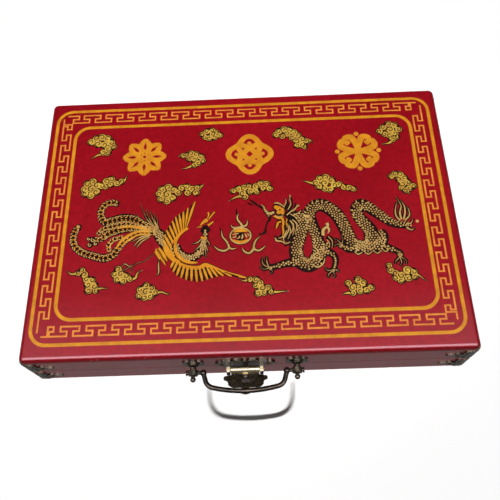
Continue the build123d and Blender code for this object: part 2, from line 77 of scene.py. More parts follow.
def newMaterial(name, values):
    material = bpy.data.materials.new(name)
    material.use_nodes = True
    tree = material.node_tree
    shader = tree.nodes["Principled BSDF"]
    fill(tree, shader, values)
    return material, tree, shader, addNode(tree, "TexCoord", {}).outputs["Object"]


def grain(millimetres):
    return 1 / (millimetres * mm)  # noise scale for features of that size


# finishes
# nitro lacquer sprayed over wood and rubbed: deep wet red, faint orange peel, chips on the edges
lacquer = {"deep": "#820210", "bright": "#9a0717", "chip": "#c98d7e", "cloud": 55, "mottle": 3, "peel": 1.6,
           "chipSize": 1.1, "chipEdges": {"X": 118.2, "Y": 81.6, "Z": 34.0}, "chipBlend": 0.9}


def makeLacquer():
    material, tree, shader, place = newMaterial("redLacquer", {
        "Coat Weight": 0.55, "Coat Roughness": 0.1, "IOR": 1.45, "Specular IOR Level": 0.35})
    clouds = addNode(tree, "TexNoise", {"Vector": place, "Scale": grain(lacquer["cloud"]), "Detail": 4})
    mottle = addNode(tree, "TexNoise", {"Vector": place, "Scale": grain(lacquer["mottle"]), "Detail": 3})
    tone = addNode(tree, "Math", {0: clouds, 1: mottle}, operation="MULTIPLY")
    spread = addNode(tree, "MapRange", {"Value": tone, "From Min": 0.12, "From Max": 0.4})
    red = addNode(tree, "Mix", {0: spread, 6: colour(lacquer["deep"]), 7: colour(lacquer["bright"])},
                  data_type="RGBA")
    # chips sit only along the lid's upper arrises
    axes = addNode(tree, "SeparateXYZ", {"Vector": place})
    masks = []
    for axis, start in lacquer["chipEdges"].items():
        size = addNode(tree, "Math", {0: axes.outputs[axis]}, operation="ABSOLUTE")
        masks.append(addNode(tree, "MapRange", {"Value": size, "From Min": start * mm,
                                                "From Max": (start + lacquer["chipBlend"]) * mm}))
    rim = addNode(tree, "Math", {0: masks[0], 1: masks[1]}, operation="MAXIMUM")
    arris = addNode(tree, "Math", {0: rim, 1: masks[2]}, operation="MULTIPLY")
    specks = addNode(tree, "TexNoise", {"Vector": place, "Scale": grain(lacquer["chipSize"]), "Detail": 2})
    chipped = addNode(tree, "MapRange", {"Value": specks, "From Min": 0.72, "From Max": 0.76})
    chips = addNode(tree, "Math", {0: chipped, 1: arris}, operation="MULTIPLY")
    final = addNode(tree, "Mix", {0: chips, 6: red.outputs[2], 7: colour(lacquer["chip"])}, data_type="RGBA")
    rough = addNode(tree, "MapRange", {"Value": mottle, "To Min": 0.3, "To Max": 0.48})
    peel = addNode(tree, "TexNoise", {"Vector": place, "Scale": grain(lacquer["peel"]), "Detail": 2})
    bump = addNode(tree, "Bump", {"Height": peel, "Strength": 0.06, "Distance": 0.05 * mm})
    fill(tree, shader, {"Base Color": final.outputs[2], "Roughness": rough, "Normal": bump})
    return material


# paints screened on the lid: flat colour with worn, slightly uneven ink, under the same gloss
paints = {"gold": ("#dd951f", "#c67c1a"), "paleGold": ("#cfa964", "#a98046"), "ink": ("#130d0b", "#26140f"),
          "cloudGold": ("#d9b145", "#b5863a"), "borderGold": ("#e8953a", "#d37a2c")}
painted = {"patch": 6, "gloss": 0.4, "inkGloss": 0.1}


def makePaint(name):
    light, dark = paints[name]
    gloss = painted["inkGloss" if name == "ink" else "gloss"]
    material, tree, shader, place = newMaterial(name + "Paint", {
        "Coat Weight": gloss, "Coat Roughness": 0.2, "IOR": 1.45, "Specular IOR Level": gloss - 0.05})
    patches = addNode(tree, "TexNoise", {"Vector": place, "Scale": grain(painted["patch"]), "Detail": 5,
                                        "Roughness": 0.6})
    spread = addNode(tree, "MapRange", {"Value": patches, "From Min": 0.35, "From Max": 0.65})
    mixed = addNode(tree, "Mix", {0: spread, 6: colour(dark), 7: colour(light)}, data_type="RGBA")
    rough = addNode(tree, "MapRange", {"Value": patches, "To Min": 0.32, "To Max": 0.5})
    bump = addNode(tree, "Bump", {"Height": patches, "Strength": 0.1, "Distance": 0.03 * mm})
    fill(tree, shader, {"Base Color": mixed.outputs[2], "Roughness": rough, "Normal": bump})
    return material


# castings darkened to an antique brown and stained unevenly, the bail darkest; a highlight is painted
# round the hasp's pin; the other metals are duller brass and bright plated steel
metals = {
    "antiqueBronze": {"dark": "#2b241c", "light": "#75654f", "grain": 1.6, "stain": (0.38, 0.74),
                      "rough": (0.2, 0.36), "metal": 0.6},
    "darkBronze": {"dark": "#1d1711", "light": "#463a2b", "grain": 1.8, "stain": (0.4, 0.75),
                   "rough": (0.18, 0.32), "metal": 0.75},
    "agedBrass": {"dark": "#4a3a22", "light": "#927850", "grain": 1.5, "stain": (0.4, 0.7),
                  "rough": (0.28, 0.5), "metal": 1.0},
    "nickelSteel": {"dark": "#8f8d88", "light": "#c2c0ba", "grain": 3.0, "stain": (0.3, 0.7),
                    "rough": (0.22, 0.4), "metal": 1.0},
}
castPit = 0.7
# a highlight painted round the hasp's pin on barrel and ears: bright to one radius, plain bronze past the
# next
pinHighlight = {"y": -87.3, "z": 22.9, "bright": 2.25, "dark": 2.6, "tone": "#cdbb93", "strength": 0.85}


def makeMetal(name):
    look = metals[name]
    material, tree, shader, place = newMaterial(name, {"Metallic": look["metal"]})
    stain = addNode(tree, "TexNoise", {"Vector": place, "Scale": grain(look["grain"]), "Detail": 6})
    spread = addNode(tree, "MapRange", {"Value": stain, "From Min": look["stain"][0],
                                        "From Max": look["stain"][1]})
    mixed = addNode(tree, "Mix", {0: spread, 6: colour(look["dark"]), 7: colour(look["light"])},
                    data_type="RGBA")
    if name == "antiqueBronze":
        # painted highlight: a bright tone mixed into the bronze near the hasp's pin
        flat = addNode(tree, "VectorMath", {0: place, 1: (0, 1, 1)}, operation="MULTIPLY")
        away = addNode(tree, "VectorMath", {0: flat, 1: (0, pinHighlight["y"] * mm, pinHighlight["z"] * mm)},
                       operation="DISTANCE")
        near = addNode(tree, "MapRange", {"Value": away.outputs["Value"], "From Min": pinHighlight["dark"] * mm,
                                          "From Max": pinHighlight["bright"] * mm})
        paintedHighlight = addNode(tree, "Math", {0: near, 1: pinHighlight["strength"]}, operation="MULTIPLY")
        mixed = addNode(tree, "Mix", {0: paintedHighlight, 6: mixed.outputs[2], 7: colour(pinHighlight["tone"])},
                        data_type="RGBA")
    rough = addNode(tree, "MapRange", {"Value": stain, "To Min": look["rough"][1],
                                       "To Max": look["rough"][0]})
    pits = addNode(tree, "TexNoise", {"Vector": place, "Scale": grain(castPit), "Detail": 3})
    bump = addNode(tree, "Bump", {"Height": pits, "Strength": 0.35, "Distance": 0.08 * mm})
    fill(tree, shader, {"Base Color": mixed.outputs[2], "Roughness": rough, "Normal": bump})
    return material


# rayon flock glued upright on card: matt, dark, light only at grazing angles
flock = {"pile": "#3a0a10", "bare": "#24060a", "tuft": 0.6, "brushed": 22}


def makeFlock():
    material, tree, shader, place = newMaterial("flockedCard", {
        "Roughness": 0.95, "Sheen Weight": 0.5, "Sheen Roughness": 0.4})
    tufts = addNode(tree, "TexNoise", {"Vector": place, "Scale": grain(flock["tuft"]), "Detail": 3})
    brushed = addNode(tree, "TexNoise", {"Vector": place, "Scale": grain(flock["brushed"]), "Detail": 2})
    both = addNode(tree, "Math", {0: tufts, 1: brushed}, operation="MULTIPLY")
    spread = addNode(tree, "MapRange", {"Value": both, "From Min": 0.15, "From Max": 0.38})
    mixed = addNode(tree, "Mix", {0: spread, 6: colour(flock["bare"]), 7: colour(flock["pile"])},
                    data_type="RGBA")
    bump = addNode(tree, "Bump", {"Height": tufts, "Strength": 0.8, "Distance": 0.3 * mm})
    fill(tree, shader, {"Base Color": mixed.outputs[2], "Normal": bump})
    return material


# sawn basswood under thin varnish: long pale grain along the tray
basswood = {"early": "#d9b98a", "late": "#b98f5c", "ring": 4.0, "fibre": 0.6, "stretch": 14}


def makeBasswood():
    material, tree, shader, place = newMaterial("varnishedBasswood", {
        "Coat Weight": 0.2, "Coat Roughness": 0.3})
    along = addNode(tree, "Mapping", {"Vector": place, "Scale": (1 / basswood["stretch"], 1, 1)})
    rings = addNode(tree, "TexNoise", {"Vector": along, "Scale": grain(basswood["ring"]), "Detail": 5,
                                       "Distortion": 0.6})
    fibres = addNode(tree, "TexNoise", {"Vector": along, "Scale": grain(basswood["fibre"]), "Detail": 2})
    both = addNode(tree, "Math", {0: rings, 1: fibres}, operation="MULTIPLY")
    spread = addNode(tree, "MapRange", {"Value": both, "From Min": 0.15, "From Max": 0.36})
    mixed = addNode(tree, "Mix", {0: spread, 6: colour(basswood["late"]),
                                  7: colour(basswood["early"])}, data_type="RGBA")
    rough = addNode(tree, "MapRange", {"Value": fibres, "To Min": 0.4, "To Max": 0.6})
    bump = addNode(tree, "Bump", {"Height": fibres, "Strength": 0.25, "Distance": 0.1 * mm})
    fill(tree, shader, {"Base Color": mixed.outputs[2], "Roughness": rough, "Normal": bump})
    return material


finishes = {"red_lacquered_wood": makeLacquer(), "antique_bronze": makeMetal("antiqueBronze"),
            "aged_brass": makeMetal("agedBrass"), "plated_steel": makeMetal("nickelSteel"),
            "flocked_card": makeFlock(), "tray_wood": makeBasswood()}
paintMaterials = {name: makePaint(name) for name in paints}
slotOf = {part["node"]: part["material_slot"] for part in frame["record"]["subparts"]}
ownFinish = {"bail": makeMetal("darkBronze")}  # the handle is darker than the other bronze
for node, thing in frame["nodes"].items():
    for place in thing.material_slots:
        place.material = ownFinish.get(node, finishes[slotOf[node]])
print("finishes made")


# making and placing pieces
def newObject(name, data):
    thing = bpy.data.objects.new(name, data)
    bpy.context.scene.collection.objects.link(thing)
    return thing


def meshOf(bm, name):
    mesh = bpy.data.meshes.new(name)
    bm.to_mesh(mesh)
    bm.free()
    return mesh


def addPiece(name, mesh, material, body):
    mesh.materials.clear()
    mesh.materials.append(material)
    mesh.shade_flat()
    piece = newObject(name, mesh)
    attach(piece, body)
    return piece


def smoothPath(points, steps=6):
    # (x, y, half width) points joined by a smooth line through all of them
    line = [Vector(p) for p in points]
    ends = [line[0]] + line + [line[-1]]
    path = []
    for a, b, c, d in zip(ends, ends[1:], ends[2:], ends[3:]):
        for i in range(steps):
            t = i / steps
            squared, cubed = 2 * a - 5 * b + 4 * c - d, 3 * b - a - 3 * c + d
            path.append(0.5 * (2 * b + (c - a) * t + squared * t * t + cubed * t ** 3))
    return path + [line[-1]]


def curveMesh(strokes, resolution=0):
    # strokes are (points, closed); the points' third number is the half width in millimetres
    curve = bpy.data.curves.new("stroke", "CURVE")
    curve.dimensions = "2D"
    curve.fill_mode = "NONE"
    curve.bevel_depth = 1.0
    curve.bevel_resolution = resolution
    curve.use_fill_caps = True
    for points, closed in strokes:
        spline = curve.splines.new("POLY")
        spline.points.add(len(points) - 1)
        for point, (x, y, half) in zip(spline.points, points):
            point.co = (x, y, 0, 1)
            point.radius = max(half, 0.05)
        spline.use_cyclic_u = closed
    holder = bpy.data.objects.new("stroke", curve)
    mesh = bpy.data.meshes.new_from_object(holder)
    bpy.data.objects.remove(holder)
    return mesh


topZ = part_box("lid_top_panel")[1][2] / mm
layers = {"under": 0.03, "fill": 0.07, "detail": 0.11}  # heights above the lid, in millimetres
paintThickness = 0.02


def paintPiece(name, strokes, dots, layer, paint):
    # strokes and low cones pressed into one thin layer of paint on the lid
    mesh = curveMesh(strokes) if strokes else bpy.data.meshes.new(name)
    bm = bmesh.new()
    bm.from_mesh(mesh)
    for vertex in bm.verts:
        vertex.co.z = math.copysign(paintThickness, vertex.co.z) if abs(vertex.co.z) > 1e-5 else 0
    for x, y, radius in dots:
        bmesh.ops.create_cone(bm, cap_ends=True, segments=10 if radius < 1 else 20, radius1=radius,
                              radius2=radius * 0.1, depth=2 * paintThickness,
                              matrix=Matrix.Translation((x, y, 0)))
    bmesh.ops.translate(bm, verts=bm.verts, vec=(0, 0, topZ + layers[layer]))
    bmesh.ops.scale(bm, verts=bm.verts, vec=(mm, mm, mm))
    bm.to_mesh(mesh)
    bm.free()
    mesh.name = name
    addPiece(name, mesh, paintMaterials[paint], "lid")


def grown(strokes, by):
    return [([(x, y, half + by) for x, y, half in points], closed) for points, closed in strokes]


def grownDots(dots, by):
    return [(x, y, radius + by) for x, y, radius in dots]


# a curl: points to a turn, how far it winds in and how much thinner it ends
winding = {"points": 14, "inward": 0.82, "thinner": 0.4}


def spiral(x, y, radius, turns, start, hand, half):
    # an ink curl that winds in from the rim
    count = int(turns * winding["points"])
    path = []
    for i in range(count + 1):
        t = i / count
        angle = math.radians(start) + hand * t * turns * math.tau
        reach, thin = radius * (1 - winding["inward"] * t), half * (1 - winding["thinner"] * t)
        path.append((x + reach * math.cos(angle), y + reach * math.sin(angle), thin))
    return path


# border of the painted top; its lines: middle x and y, half sides, corner radius, half width;
# its fret across and down: units, pitch and start from the corner
border = {"outer": (-0.5, 0.9, 114.5, 75.4, 9.0, 0.95), "inner": (-0.6, 1.4, 102.4, 62.3, 9.0, 1.0),
          "fretX": 107.9, "fretY": 68.8, "fretCentre": (-0.8, 1.6), "half": 2.65, "line": 0.48,
          "across": (15, 13.77, 3.1), "down": (8, 15.35, 7.4)}


def ringLine(x, y, halfX, halfY, radius, half):
    # a rounded rectangle as one closed stroke
    path = []
    for quarter, (signX, signY) in enumerate(((1, 1), (-1, 1), (-1, -1), (1, -1))):
        for i in range(9):
            angle = math.radians(90 * quarter + i * 90 / 8)
            path.append((x + signX * (halfX - radius) + radius * math.cos(angle),
                         y + signY * (halfY - radius) + radius * math.sin(angle), half))
    return path, True


def fretRun(corner, along, inward, side, run):
    # one side of the key fret, corner to corner; every segment is a short stroke, lapped at the turns
    count, pitch, start = run
    h, w = border["half"], border["line"]
    last = (side - start) / pitch - count
    turns = [(-start / pitch, -h), (0.25, -h), (0.25, 0), (0, 0), (0, h)]
    for k in range(count):
        end = k + (1.23 if k < count - 1 else 1.16)  # the last unit is shorter
        turns += [(k + 0.73, h), (k + 0.73, 0), (k + 0.48, 0), (k + 0.48, -h),
                  (end, -h), (end, 0), (k + 1, 0), (k + 1, h)]
    turns += [(count + last * u, v) for u, v in ((0.5, h), (0.5, -h), (1, -h))]
    places = [corner + along * (start + u * pitch) + inward * v for u, v in turns]
    strokes = []
    for a, b in zip(places, places[1:]):
        lap = (b - a).normalized() * w
        a, b = a - lap, b + lap
        strokes.append(([(a.x, a.y, w), (b.x, b.y, w)], False))
    return strokes


def makeBorder():
    paintPiece("borderLines", [ringLine(*border["outer"]), ringLine(*border["inner"])], [], "fill", "gold")
    cx, cy = border["fretCentre"]
    fx, fy = border["fretX"], border["fretY"]
    right, up = Vector((1, 0)), Vector((0, 1))
    strokes = fretRun(Vector((cx - fx, cy + fy)), right, -up, 2 * fx, border["across"])
    strokes += fretRun(Vector((cx + fx, cy - fy)), -right, up, 2 * fx, border["across"])
    strokes += fretRun(Vector((cx - fx, cy - fy)), up, right, 2 * fy, border["down"])
    strokes += fretRun(Vector((cx + fx, cy + fy)), -up, -right, 2 * fy, border["down"])
    paintPiece("borderFret", strokes, [], "fill", "borderGold")


makeBorder()
print("border painted")


# clouds: lobes (x, y, radius) and tails of (x, y, half width), in millimetres
clouds = [
    ([(-93, 53, 2.2), (-90, 55.5, 2.2), (-86.6, 56.2, 2.4), (-83.2, 55, 2.4), (-80.6, 52, 2.3),
     (-79.2, 49, 2), (-82, 47.4, 2.2), (-84.8, 50.6, 2.3), (-88.6, 51.4, 2.3), (-85, 45, 2.1),
     (-82.3, 44.6, 1.9)],
     [[(-85.5, 44, 1), (-88.5, 43, 0.8), (-92, 40.6, 0.2)]]),
    ([(-24.5, 55.5, 1.9), (-22, 57.5, 1.9), (-19, 58, 2), (-16.5, 56.5, 1.9), (-14, 54.5, 1.8),
     (-17.5, 53, 1.9), (-20.5, 52.5, 2), (-23, 53.2, 1.7), (-18.5, 55.4, 1.8)],
     [[(-20, 51.5, 0.8), (-19, 50.3, 0.2)]]),
    ([(-36.5, 40.5, 1.6), (-34, 40.8, 1.8), (-31.5, 41.8, 2), (-28.5, 41, 2), (-25.5, 39.3, 2),
     (-24.5, 36.3, 1.8), (-27, 34.8, 1.9), (-29.5, 37.5, 2.1), (-32.5, 38, 1.8), (-29.5, 33.3, 1.6)],
     [[(-31, 33, 0.9), (-34, 31.6, 0.7), (-37, 31.2, 0.2)], [(-37, 40.5, 0.9), (-39, 40.2, 0.2)]]),
    ([(-94, 19.5, 2.2), (-92.5, 23, 2.3), (-89.5, 24.5, 2.2), (-87, 22, 2.1), (-93.5, 16.5, 2),
     (-90, 15, 2), (-87, 17.5, 2.2), (-90, 19.5, 2.4), (-84, 21.5, 2), (-81.5, 24.5, 2.1),
     (-78.5, 25.8, 2.1), (-78.5, 22.5, 1.9), (-75, 23, 2), (-72.5, 24, 1.9), (-81.5, 20.8, 1.7)],
     [[(-72, 23, 1), (-70.5, 25, 0.8), (-69.5, 28, 0.2)]]),
    ([(-49.5, 14.5, 2.1), (-48, 17.5, 2.2), (-44.5, 18.8, 2.2), (-41.5, 17, 2.1), (-48.5, 11, 2),
     (-45, 9.5, 2), (-42, 11.5, 2.1), (-45, 14, 2.4), (-38.5, 15, 2), (-36.5, 18, 2), (-33.5, 18.6, 2),
     (-30.5, 17, 2), (-33, 14.6, 1.9), (-28, 14.5, 1.9), (-27, 17.8, 1.8)],
     [[(-27, 17.5, 1), (-25, 18.5, 0.8), (-23.5, 20, 0.2)]]),
    ([(-6.5, 14.5, 1.6), (-3.5, 16, 1.9), (0, 16.5, 2), (2.5, 17.5, 1.8), (-1, 13, 2.1), (0.5, 10.5, 1.9),
     (4, 14, 2), (7, 17, 2.1), (10, 19, 2.1), (13, 18.5, 2), (15, 15.5, 1.8), (11.5, 16, 1.9),
     (7.5, 13.5, 1.6)],
     [[(-1, 11, 1.2), (-4.5, 10.5, 0.9), (-9, 8, 0.2)], [(-7, 14.5, 0.9), (-8.5, 15.5, 0.2)]]),
    ([(42, 18, 2), (44.5, 20.8, 2.1), (48, 21.5, 2.2), (51, 19.5, 2.2), (43.5, 15.5, 1.9), (47, 14, 2),
     (50, 13.2, 2), (52.5, 16, 2), (47, 17.8, 2.3), (55.5, 16.5, 1.9), (58, 14.5, 1.8), (61, 13.8, 1.9),
     (63.5, 13, 1.6)],
     [[(41, 17.5, 1), (38, 18.5, 0.8), (34.5, 19.8, 0.2)]]),
    ([(20, 53, 1.9), (22, 55.5, 2), (25, 56.8, 2.1), (28, 56.5, 2), (31, 54.5, 2), (33.5, 52, 2),
     (27, 53.5, 2.1), (24, 51.8, 1.8), (30, 50.5, 2), (32.5, 48, 2), (36, 49, 2), (38.5, 47.5, 1.9),
     (35.5, 45.2, 2), (32.5, 44.6, 1.7), (37, 43.5, 1.5)],
     [[(38, 47.5, 1), (40.5, 48, 0.7), (42.5, 46, 0.2)], [(36.5, 43.5, 0.9), (37.2, 41, 0.2)],
     [(20, 53, 0.9), (18.2, 52.6, 0.2)]]),
    ([(83, 52.5, 1.9), (85.5, 55.5, 2), (89, 57.6, 2.1), (92.5, 56.6, 2), (94.6, 53.6, 2), (92, 50.6, 2),
     (88.5, 49.5, 2), (85.8, 50.4, 1.8), (89.5, 53.6, 2.4), (90, 46.5, 1.9), (92.6, 48, 1.7)],
     [[(90, 46, 1.1), (87.5, 43.8, 0.9), (83.4, 43.2, 0.2)]]),
    ([(86, 20.5, 1.7), (88.5, 22, 1.9), (91.5, 21.5, 1.9), (93.5, 19, 1.9), (90.5, 18.3, 1.9),
     (92, 15.2, 2), (95.3, 16, 1.8), (98, 13.5, 1.7), (95.5, 12, 1.8), (93, 10.8, 1.8), (91, 12.5, 1.6)],
     [[(94, 11, 0.9), (95.5, 7.5, 0.2)], [(86, 20.5, 0.9), (84, 20, 0.2)]]),
    ([(-90.5, -32.5, 1.7), (-92.5, -34, 1.5), (-89, -35, 1.9), (-87.5, -38, 1.9), (-84.5, -38.5, 1.8),
     (-86.5, -41, 2), (-83, -42, 2.1), (-86, -44.5, 1.9), (-82, -44.8, 1.5)],
     [[(-92, -33.5, 1.1), (-96, -34.5, 0.8), (-99, -32.5, 0.2)], [(-82, -44.2, 1), (-79, -43.4, 0.7),
     (-75.5, -43.8, 0.2)]]),
    ([(-70.5, -32.5, 1.9), (-72, -35.5, 1.9), (-70.5, -38.5, 2), (-67.5, -39.5, 1.9), (-66, -36.8, 1.9),
     (-68.8, -35.3, 2.2), (-63.5, -38.5, 1.6)],
     [[(-63, -38.8, 0.9), (-60.5, -38, 0.9), (-59.8, -35.3, 0.6), (-57, -33.5, 0.2)]]),
    ([(-54.5, -42.8, 1.8), (-57.5, -45, 1.9), (-58, -48.5, 1.8), (-55, -49.5, 1.9), (-52, -49, 1.9),
     (-49.5, -47, 1.8), (-51.5, -44.5, 1.8), (-54.5, -46.4, 2.1)],
     [[(-49, -47.5, 0.9), (-46, -46.8, 0.8), (-43, -48, 0.5), (-41, -47.8, 0.2)]]),
    ([(2, -41.2, 1.5), (5.5, -41.5, 1.8), (7.5, -43.5, 1.7), (5.2, -44.8, 1.6), (8.5, -46.3, 2),
     (11.8, -46.5, 1.8), (9.5, -49, 1.8), (6.3, -49.3, 1.9), (13.5, -48.8, 1.5)],
     [[(1.5, -41, 1), (-1, -42, 0.7), (-3.5, -40.8, 0.2)], [(13, -48.8, 1.1), (17, -49, 0.8),
     (22.5, -48.6, 0.2)]]),
    ([(55, -45.5, 1.8), (57.2, -48, 2.1), (60.3, -43.5, 1.9), (63, -45.5, 1.9), (60.5, -47.5, 1.8),
     (57, -51, 1.6), (61, -50, 1.9), (64.5, -49.8, 1.8), (67, -48.3, 1.7)],
     [[(57, -51.3, 0.9), (54, -51, 0.8), (51, -51.8, 0.2)]]),
    ([(78, -36, 1.6), (78.6, -38.8, 1.8), (81, -40.5, 1.8), (80.8, -43, 1.8), (83.5, -44.8, 1.8),
     (84, -41.8, 1.9), (87.5, -43.6, 1.9), (87.5, -39, 2.3), (90.8, -40, 1.9), (91, -43, 1.5)],
     [[(91, -41, 0.9), (94, -42.8, 0.6), (97, -46, 0.2)]]),
]


def makeClouds():
    under, fill, detail = [], [], []
    underDots, fillDots = [], []
    for lobes, tails in clouds:
        middle = sum((Vector(lobe[:2]) for lobe in lobes), Vector((0, 0))) / len(lobes)
        for i, (x, y, radius) in enumerate(lobes):
            underDots.append((x, y, radius + 0.6))
            fillDots.append((x, y, radius))
            away = math.degrees(math.atan2(y - middle.y, x - middle.x))
            hand = 1 if i % 2 else -1
            detail.append((spiral(x, y, radius * 0.92, 1.05, away - hand * 100, hand, 0.32), False))
        for tail in tails:
            path = smoothPath(tail, 5)
            fill += grown([(path, False)], -0.35)
            under += grown([(path, False)], 0.25)
    paintPiece("cloudInk", under, underDots, "under", "ink")
    paintPiece("cloudGold", fill, fillDots, "fill", "cloudGold")
    paintPiece("cloudCurls", detail, [], "detail", "ink")


makeClouds()
print("clouds painted")


# three gold medallions: a lotus, a knot of two loops and a ring of scroll heads
medallions = {"lotus": (-59.5, 40.7), "knot": (3.8, 39.9), "scrolls": (68.6, 39.1),
              "scale": 0.88, "line": 1.5}


def turnedStroke(points, angle, centre):
    c, s = (medallions["scale"] * part(math.radians(angle)) for part in (math.cos, math.sin))
    return [(centre[0] + x * c - y * s, centre[1] + x * s + y * c, half) for x, y, half in points]


def dotRing(centre, count, reach, radius):
    angles = [math.radians(i * 360 / count) for i in range(count)]
    return [(centre[0] + reach * math.cos(a), centre[1] + reach * math.sin(a), radius) for a in angles]


def makeMedallions():
    w, lotus, knot, scrolls = (medallions[key] for key in ("line", "lotus", "knot", "scrolls"))
    # lotus: eight pointed petals round a seed ring
    strokes, dots = [], dotRing(lotus, 6, 1.9, 0.85)
    petal = smoothPath([(3.4, 0, w * 0.7), (7.2, 3.1, w), (11.4, 2.0, w * 0.9), (14.6, 0, w * 0.35)])
    for i in range(8):
        for flip in (1, -1):
            side = [(x, flip * y, half) for x, y, half in petal]
            strokes.append((turnedStroke(side, 45 * i, lotus), False))
    # knot: two crossed ovals in a lobed ring
    ring = []
    for i in range(64):
        angle = math.tau * i / 64
        reach = medallions["scale"] * (12.6 + 1.9 * math.cos(4 * angle))
        ring.append((knot[0] + reach * math.cos(angle), knot[1] + reach * math.sin(angle), w))
    strokes.append((ring, True))
    angles = [math.tau * i / 40 for i in range(40)]
    oval = [(9.4 * math.cos(angle), 3.6 * math.sin(angle), w) for angle in angles]
    for tilt in (45, -45):
        strokes.append((turnedStroke(oval, tilt, knot), True))
    dots += dotRing(knot, 4, 7.8, 1.1)
    # scroll heads: four double curls back to back
    curl = [(1.6, 0, w), (6.5, 1.2, w * 1.15), (11.4, 4.0, w * 1.2), (10.6, 8.0, w), (7.0, 7.4, w * 0.8),
            (7.4, 4.9, w * 0.5)]
    for i in range(4):
        for flip in (1, -1):
            side = smoothPath([(x, flip * y, half) for x, y, half in curl])
            strokes.append((turnedStroke(side, 90 * i, scrolls), False))
        dots.append((*turnedStroke([(14.0, 0, 0)], 90 * i, scrolls)[0][:2], 1.3))
    dots.append((*scrolls, 2.4))
    paintPiece("medallionGold", strokes, dots, "fill", "gold")
    paintPiece("medallionShade", grown(strokes, 0.18), grownDots(dots, 0.18), "under", "borderGold")


makeMedallions()
print("medallions painted")


# shared parts of the two creatures
def walk(path, step):
    # places at even steps along a path: point, direction and half width
    places, travelled = [], 0.0
    for a, b in zip(path, path[1:]):
        flat = Vector((b[0] - a[0], b[1] - a[1]))
        length = flat.length
        while travelled < length:
            t = travelled / length
            places.append((Vector((a[0], a[1])) + flat * t, flat / length, a[2] + (b[2] - a[2]) * t))
            travelled += step
        travelled -= length
    return places


def scaleDots(path, step=1.6, radius=0.5):
    dots = []
    for row, (at, along, half) in enumerate(walk(path, step * 0.86)):
        side = Vector((-along.y, along.x))
        count = max(1, int(2 * half / step) - row % 2)
        for i in range(count):
            spot = at + side * (i - (count - 1) / 2) * step
            dots.append((spot.x, spot.y, radius * (0.85 + 0.3 * noise.random())))
    return dots


def barbs(path, step, length, lean, half, sides=(1, -1)):
    # short feathers, fins or hairs that stand off a path and lean back along it
    strokes = []
    for at, along, width in walk(path, step):
        for side in sides:
            across = Vector((-along.y, along.x)) * side
            angle = math.radians(lean + 14 * (noise.random() - 0.5))
            out = (across * math.cos(angle) - along * math.sin(angle)).normalized()
            root = at + across * width * 0.55
            tip = root + out * length * (0.75 + 0.5 * noise.random())
            middle = (root + tip) / 2 + along * 0.12 * length
            strokes.append(([(root.x, root.y, half), (middle.x, middle.y, half * 0.9),
                             (tip.x, tip.y, half * 0.25)], False))
    return strokes


def strokesOf(lines, steps=6):
    return [(smoothPath(line, steps), False) for line in lines]


noise.seed_set(7)  # the dots and barbs come out the same every time

